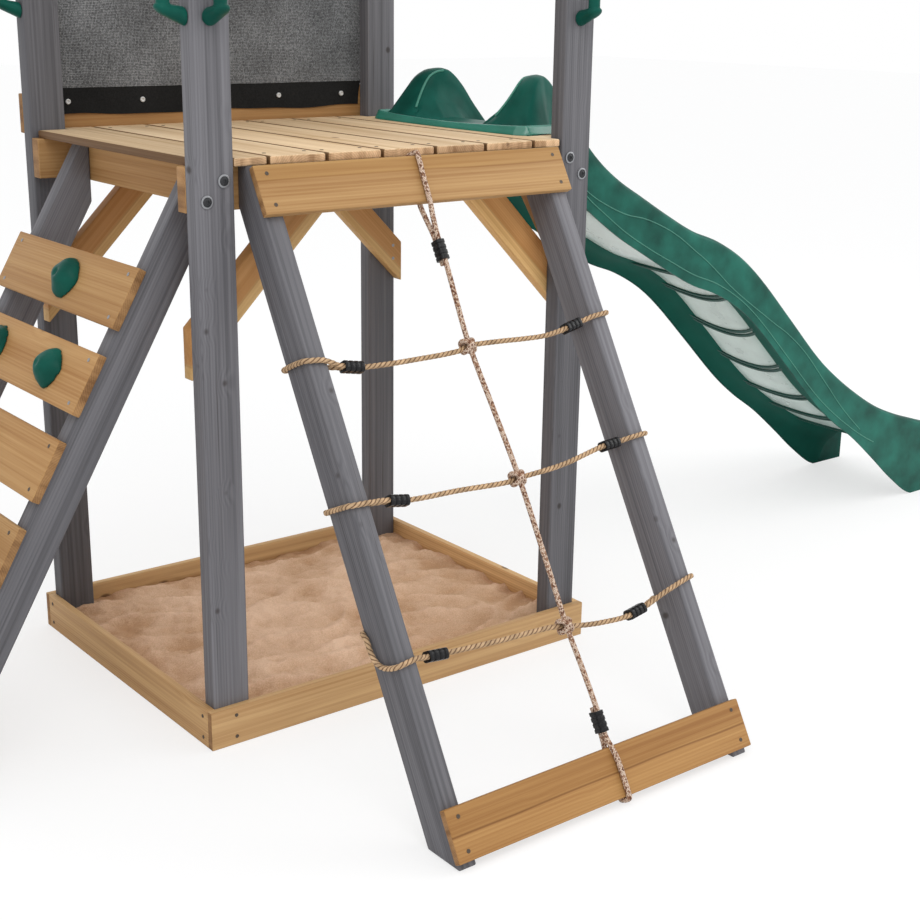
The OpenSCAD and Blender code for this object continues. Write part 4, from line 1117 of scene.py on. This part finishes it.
def place_copies(model, node, name, finishes, outward, pick=lambda middle: 0):
    """Join copies of a model, made at the origin facing +Z, on every solid of a group."""
    made = []
    for finish in finishes:
        model.data.materials.append(finish)
    for middle, facing, points in islands(node):
        best = sorted(facing, key=lambda k: -facing[k])[:2]
        axis = max((Vector(k) for k in best), key=lambda k: k.dot(outward(middle))).normalized()
        base = min(p.dot(axis) for p in points)
        foot = middle + (base - middle.dot(axis)) * axis
        copy = linked(name, model.data.copy())
        copy.data.transform(Matrix.Translation(foot) @ axis.to_track_quat("Z", "X").to_matrix().to_4x4())
        for face in copy.data.polygons:
            face.material_index = pick(middle)
        made.append(copy)
    bpy.data.objects.remove(model)
    group = join_all(made, name)
    bpy.ops.object.shade_smooth_by_angle(angle=math.radians(35))
    set_on_frame(group, node)
    print(name, len(made), "copies")


def on_a_brace(middle):
    """Whether a place lies on the lower end of a brace."""
    return 0.80 < middle.z < 1.2 and abs(middle.x) > 0.42 and abs(middle.y) < 0.44


def away_from_tower(middle):
    """Roughly outwards from the tower's middle, and upwards on the deck."""
    if middle.z > 1.315 and abs(middle.y) < 0.43:
        return Z
    if 0.85 < middle.z < 1.2 and abs(middle.x) > 0.45 and abs(middle.y) < 0.4:
        return Vector((0, -middle.y, 0))
    return Vector((middle.x * 0.7, middle.y, 0.25))


print("screw places", len(islands("wood_screws")))

# %% Screws, bolts and buttons
def turned_head(name, radius, height, sides, *steps):
    """A round blank on the origin, whose top is inset step by step by (thickness, depth)."""
    blank = added(bpy.ops.mesh.primitive_cylinder_add, name, vertices=sides, radius=radius, depth=height,
                  location=(0, 0, height / 2))
    bpy.ops.object.transform_apply(location=True, rotation=True, scale=True)
    bpy.ops.object.mode_set(mode="EDIT")
    bpy.ops.mesh.select_mode(type="FACE")
    bpy.ops.mesh.select_all(action="DESELECT")
    bpy.ops.object.mode_set(mode="OBJECT")
    for face in blank.data.polygons:
        face.select = face.normal.z > 0.9
    bpy.ops.object.mode_set(mode="EDIT")
    for thickness, depth in steps:
        bpy.ops.mesh.inset(thickness=thickness, depth=depth)
    bpy.ops.object.mode_set(mode="OBJECT")
    return blank


screw = turned_head("screw", 0.0045, 0.0008, 12, (0.0018, 0.0), (0.0006, -0.0007))
place_copies(screw, "wood_screws", "wood_screw_heads", (sunk_screw, zinc), away_from_tower,
             pick=lambda middle: int(on_a_brace(middle)))
washer = turned_head("washer", 0.014, 0.0025, 36, (0.0012, 0.0006), (0.0024, 0.0), (0.0004, -0.0027))
place_copies(washer, "bolt_washers", "washer_rings", (zinc,), away_from_tower)
cap = turned_head("bolt head", 0.0097, 0.0018, 24, (0.0025, 0.0012), (0.0028, 0.0006), (0.0006, -0.0020))
place_copies(cap, "bolt_heads", "bolt_head_caps", (bolt_black,), away_from_tower)
button = turned_head("button", 0.0066, 0.003, 24, (0.0016, 0.0012), (0.0020, -0.0008), (0.0006, -0.0012))
place_copies(button, "hem_buttons", "hem_button_caps", (button_nylon,), lambda middle: -Y)

# %% Clamps and knots
clamps = copy_of_solid("rope_clamps", "ribbed_clamps")
bpy.ops.mesh.dissolve_limited(angle_limit=math.radians(3))
bpy.ops.object.mode_set(mode="OBJECT")
apply_modifier(clamps, "BEVEL", width=0.0009, segments=2, limit_method="ANGLE", angle_limit=math.radians(50))
bpy.ops.object.shade_smooth_by_angle(angle=math.radians(35))
clamps.data.materials.append(black_nylon)
set_on_frame(clamps, "rope_clamps")

knot_ring, knot_thick, knot_lean, knot_out = 0.0168, 0.0056, 43, 3.75
knot_places = ((-15, 1044), (8, 734), (12, 398))
turns = []
facing = Matrix((X, -net_out, net_up)).transposed().to_4x4()
for x, s in knot_places:
    for diagonal in (-knot_lean, knot_lean):
        ring = added(bpy.ops.mesh.primitive_torus_add, "turn", major_segments=72, minor_segments=14,
                     major_radius=knot_ring, minor_radius=knot_thick, generate_uvs=True)
        ring.data.uv_layers[0].name = "lay"
        for corner in ring.data.uv_layers["lay"].data:
            corner.uv = (corner.uv[0] * 2 * math.pi * knot_ring, corner.uv[1])
        lean = Matrix.Rotation(math.radians(diagonal), 4, "Y") @ Matrix.Rotation(math.radians(90), 4, "Y")
        ring.data.transform(Matrix.Translation(on_net((x, s, knot_out))) @ facing @ lean)
        turns.append(ring)
knots = join_all(turns, "lashed_knots")
bpy.ops.object.shade_smooth()
knots.data.materials.append(pale_rope)
set_on_frame(knots, "rope_knots")
print("clamps and knots made")

# %% [markdown]
# ## The mesh guard
# A stretched sheet of woven mesh closes the back, with a webbing hem along its bottom and top. The
# sheet is a fine grid that billows a few millimetres, and the hem's free edge waves a little between
# its buttons. Their finishes weave threads from two sets of bands.

# %% Mesh and hem finishes
def woven_finish(name, pale, deep, gap, rough):
    """A plain weave from two crossing sets of threads, in the plane of the back guard, with soft painted
    light and shade of folds.
    """
    finish, tree, shader = new_finish(name, rough=rough, specular=0.15)
    place = object_place(tree)
    slow = add_node(tree, "ShaderNodeTexNoise", {"Vector": place, "Scale": 7.0, "Detail": 2.0})
    pull = add_node(tree, "ShaderNodeVectorMath", {0: slow.outputs["Color"], 1: (0.012, 0, 0.012), 2: place},
                    operation="MULTIPLY_ADD").outputs[0]
    sets = [add_node(tree, "ShaderNodeTexWave", {"Vector": pull, "Scale": band_unit / gap, "Distortion": 0.0},
                     wave_type="BANDS", bands_direction=direction).outputs["Fac"] for direction in ("X", "Z")]
    thread = calculate(tree, "MAXIMUM", *sets)
    slub = noise_of(tree, stretched(tree, place, (330, 1, 270)), 1.0, 3.0)
    mixed = calculate(tree, "MULTIPLY", thread, slub)
    # The slow noise also paints soft light and shade of folds over the weave.
    shade = remap(tree, slow.outputs[0], 0.3, 0.7, 0.75, 1.2)
    colour = brightened(tree, colour_ramp(tree, mixed, (0.2, deep), (0.6, pale)), shade)
    tree.links.new(colour, shader.inputs["Base Color"])
    raise_grain(tree, shader, mixed, 0.5, 0.001)
    return finish


mesh_weave = woven_finish("dark woven mesh", (0.26, 0.267, 0.275), (0.035, 0.036, 0.038), 0.0038, 0.8)
hem_weave = woven_finish("black webbing", (0.016, 0.016, 0.016), (0.006, 0.006, 0.006), 0.002, 0.85)
print("woven finishes", mesh_weave.name, hem_weave.name)

# %% Mesh sheet and hems
def cloth_sheet(name, low, high, columns, rows, shape, thickness, finish, pull=0.0):
    """A sheet in the back plane, shaped by a function of its two shares, with a real thickness."""
    def cloth_point(i, j):
        """A point of the sheet, with its upper corners pulled out towards the posts."""
        u, w = i / columns, j / rows
        out, lift = shape(u, w)
        corner = pull * (2 * u - 1) ** 41 * w * w
        x = low.x + u * (high.x - low.x) + corner
        return x, high.y + out, low.z + w * (high.z - low.z) + lift + 0.9 * abs(corner)
    sheet = shaped_grid(name, columns, rows, cloth_point)
    thicken(sheet, thickness, Y)
    sheet.data.materials.append(finish)
    set_on_frame(sheet)
    return sheet


def billow(u, w):
    """A slight bulge with a few soft folds, still at the edges."""
    still = (4 * u * (1 - u)) ** 0.5 * (4 * w * (1 - w)) ** 0.5
    return -0.004 * still * (1 + 0.7 * math.sin(17 * u + 3 * w)) - 0.0032, 0.0


def ripple_below(u, w):
    """The lower hem hangs free along its bottom."""
    wave = 0.7 * math.sin(13 * u + 1) + 0.3 * math.sin(29 * u)
    return -0.0012 - 0.0012 * (1 - w) * (1 + math.sin(31 * u)), 0.004 * (1 - w) * wave


def ripple_above(u, w):
    """The upper hem is free along its top, and stays below the rail's edge."""
    out, lift = ripple_below(u, 1 - w)
    return out, -abs(lift)


mesh_thick, hem_thick, hem_pull = 0.0012, 0.0022, 0.012
selvedge = Vector((0.0013, 0, 0))
low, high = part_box("mesh_panel")
guard = cloth_sheet("guard_mesh", low - selvedge, high + selvedge, 120, 74, billow, mesh_thick, mesh_weave)
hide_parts("mesh_panel")
hem_pieces = []
for _, _, points in sorted(islands("mesh_hems"), key=lambda found: found[0].z):
    low = Vector(min(p[i] for p in points) for i in range(3))
    high = Vector(max(p[i] for p in points) for i in range(3))
    lower = not hem_pieces
    hem_pieces.append(cloth_sheet("guard_hem_lower" if lower else "guard_hem_upper", low, high, 110, 10,
                                  ripple_below if lower else ripple_above, hem_thick, hem_weave,
                                  pull=hem_pull if lower else 0.0))
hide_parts("mesh_hems")
print("mesh and", len(hem_pieces), "hems")

# %% [markdown]
# ## The sand
# Play sand is raked roughly level and then trodden and pushed into low dunes. A fine grid over the pit
# is lifted by the solid's crown, by ridges that a warped noise makes and by smaller lumps. Its sides
# drop to the ground behind the boards.

# %% Sand
pit_half_x, pit_half_y = 0.5445, 0.4345
sand_columns, sand_rows = 220, 176
sand_edge, sand_crown, dune_tall = 0.050, 0.022, 0.014
sand_least, sand_most = 0.03, 0.088


def sand_height(u, w):
    """The height of the sand at two shares from -1 to 1 across the pit."""
    x, y = u * pit_half_x, w * pit_half_y
    crown = sand_edge + sand_crown * min(1 - u * u, 1 - w * w)
    warp = 0.12 * noise.noise(Vector((x * 4, y * 4, 5)))
    ridge = 1 - abs(2 * noise.noise(Vector(((x + warp) * 4.2, (y - warp) * 8.5, 3))))
    lump = 0.009 * noise.noise(Vector((x * 14, y * 14, 9))) + 0.006 * noise.noise(Vector((x * 36, y * 36, 2)))
    grit = 0.0026 * noise.noise(Vector((x * 95, y * 95, 1)))
    height = crown + dune_tall * (ridge ** 2 - 0.5) + lump + grit
    return max(sand_least, min(sand_most, height))


def sand_point(i, j):
    """A point of the sand's grid."""
    u, w = 2 * i / sand_columns - 1, 2 * j / sand_rows - 1
    return u * pit_half_x, w * pit_half_y, sand_height(u, w)


sand = shaped_grid("play_sand", sand_columns, sand_rows, sand_point)
only(sand)
bpy.ops.object.mode_set(mode="EDIT")
bpy.ops.mesh.select_mode(type="EDGE")
bpy.ops.mesh.select_all(action="SELECT")
bpy.ops.mesh.region_to_loop()
bpy.ops.mesh.extrude_region_move(TRANSFORM_OT_translate={"value": (0, 0, -0.2)})
bpy.ops.transform.resize(value=(1, 1, 0), center_override=(0, 0, 0))
bpy.ops.mesh.edge_face_add()
bpy.ops.mesh.select_all(action="SELECT")
bpy.ops.mesh.normals_make_consistent(inside=False)
bpy.ops.object.mode_set(mode="OBJECT")
bpy.ops.object.shade_smooth_by_angle(angle=math.radians(60))

sand_finish, tree, shader = new_finish("play sand", rough=0.95, specular=0.15)
place = object_place(tree)
grains = add_node(tree, "ShaderNodeTexVoronoi", {"Vector": place, "Scale": 420.0}).outputs["Distance"]
cloud = noise_of(tree, place, 7.0, 4.0)
fine = noise_of(tree, place, 300.0, 3.0)
height = add_node(tree, "ShaderNodeSeparateXYZ", {0: place}).outputs[2]
# Sand that lies lower, in the troughs and along the boards, is painted darker: painted shade.
low_sand_shade = remap(tree, height, 0.045, 0.075, 0.30, -0.05)
tint = calculate(tree, "MULTIPLY_ADD", cloud, 0.7, low_sand_shade)
tint = calculate(tree, "MULTIPLY_ADD", fine, 0.6, tint)
colour = colour_ramp(tree, tint, (0.5, (0.84, 0.59, 0.42)), (1.0, (0.52, 0.31, 0.175)))
tree.links.new(colour, shader.inputs["Base Color"])
raise_grain(tree, shader, calculate(tree, "ADD", grains, fine), 0.6, 0.002)
sand.data.materials.append(sand_finish)
set_on_frame(sand, "sand_fill")
print("sand", len(sand.data.polygons), "faces")
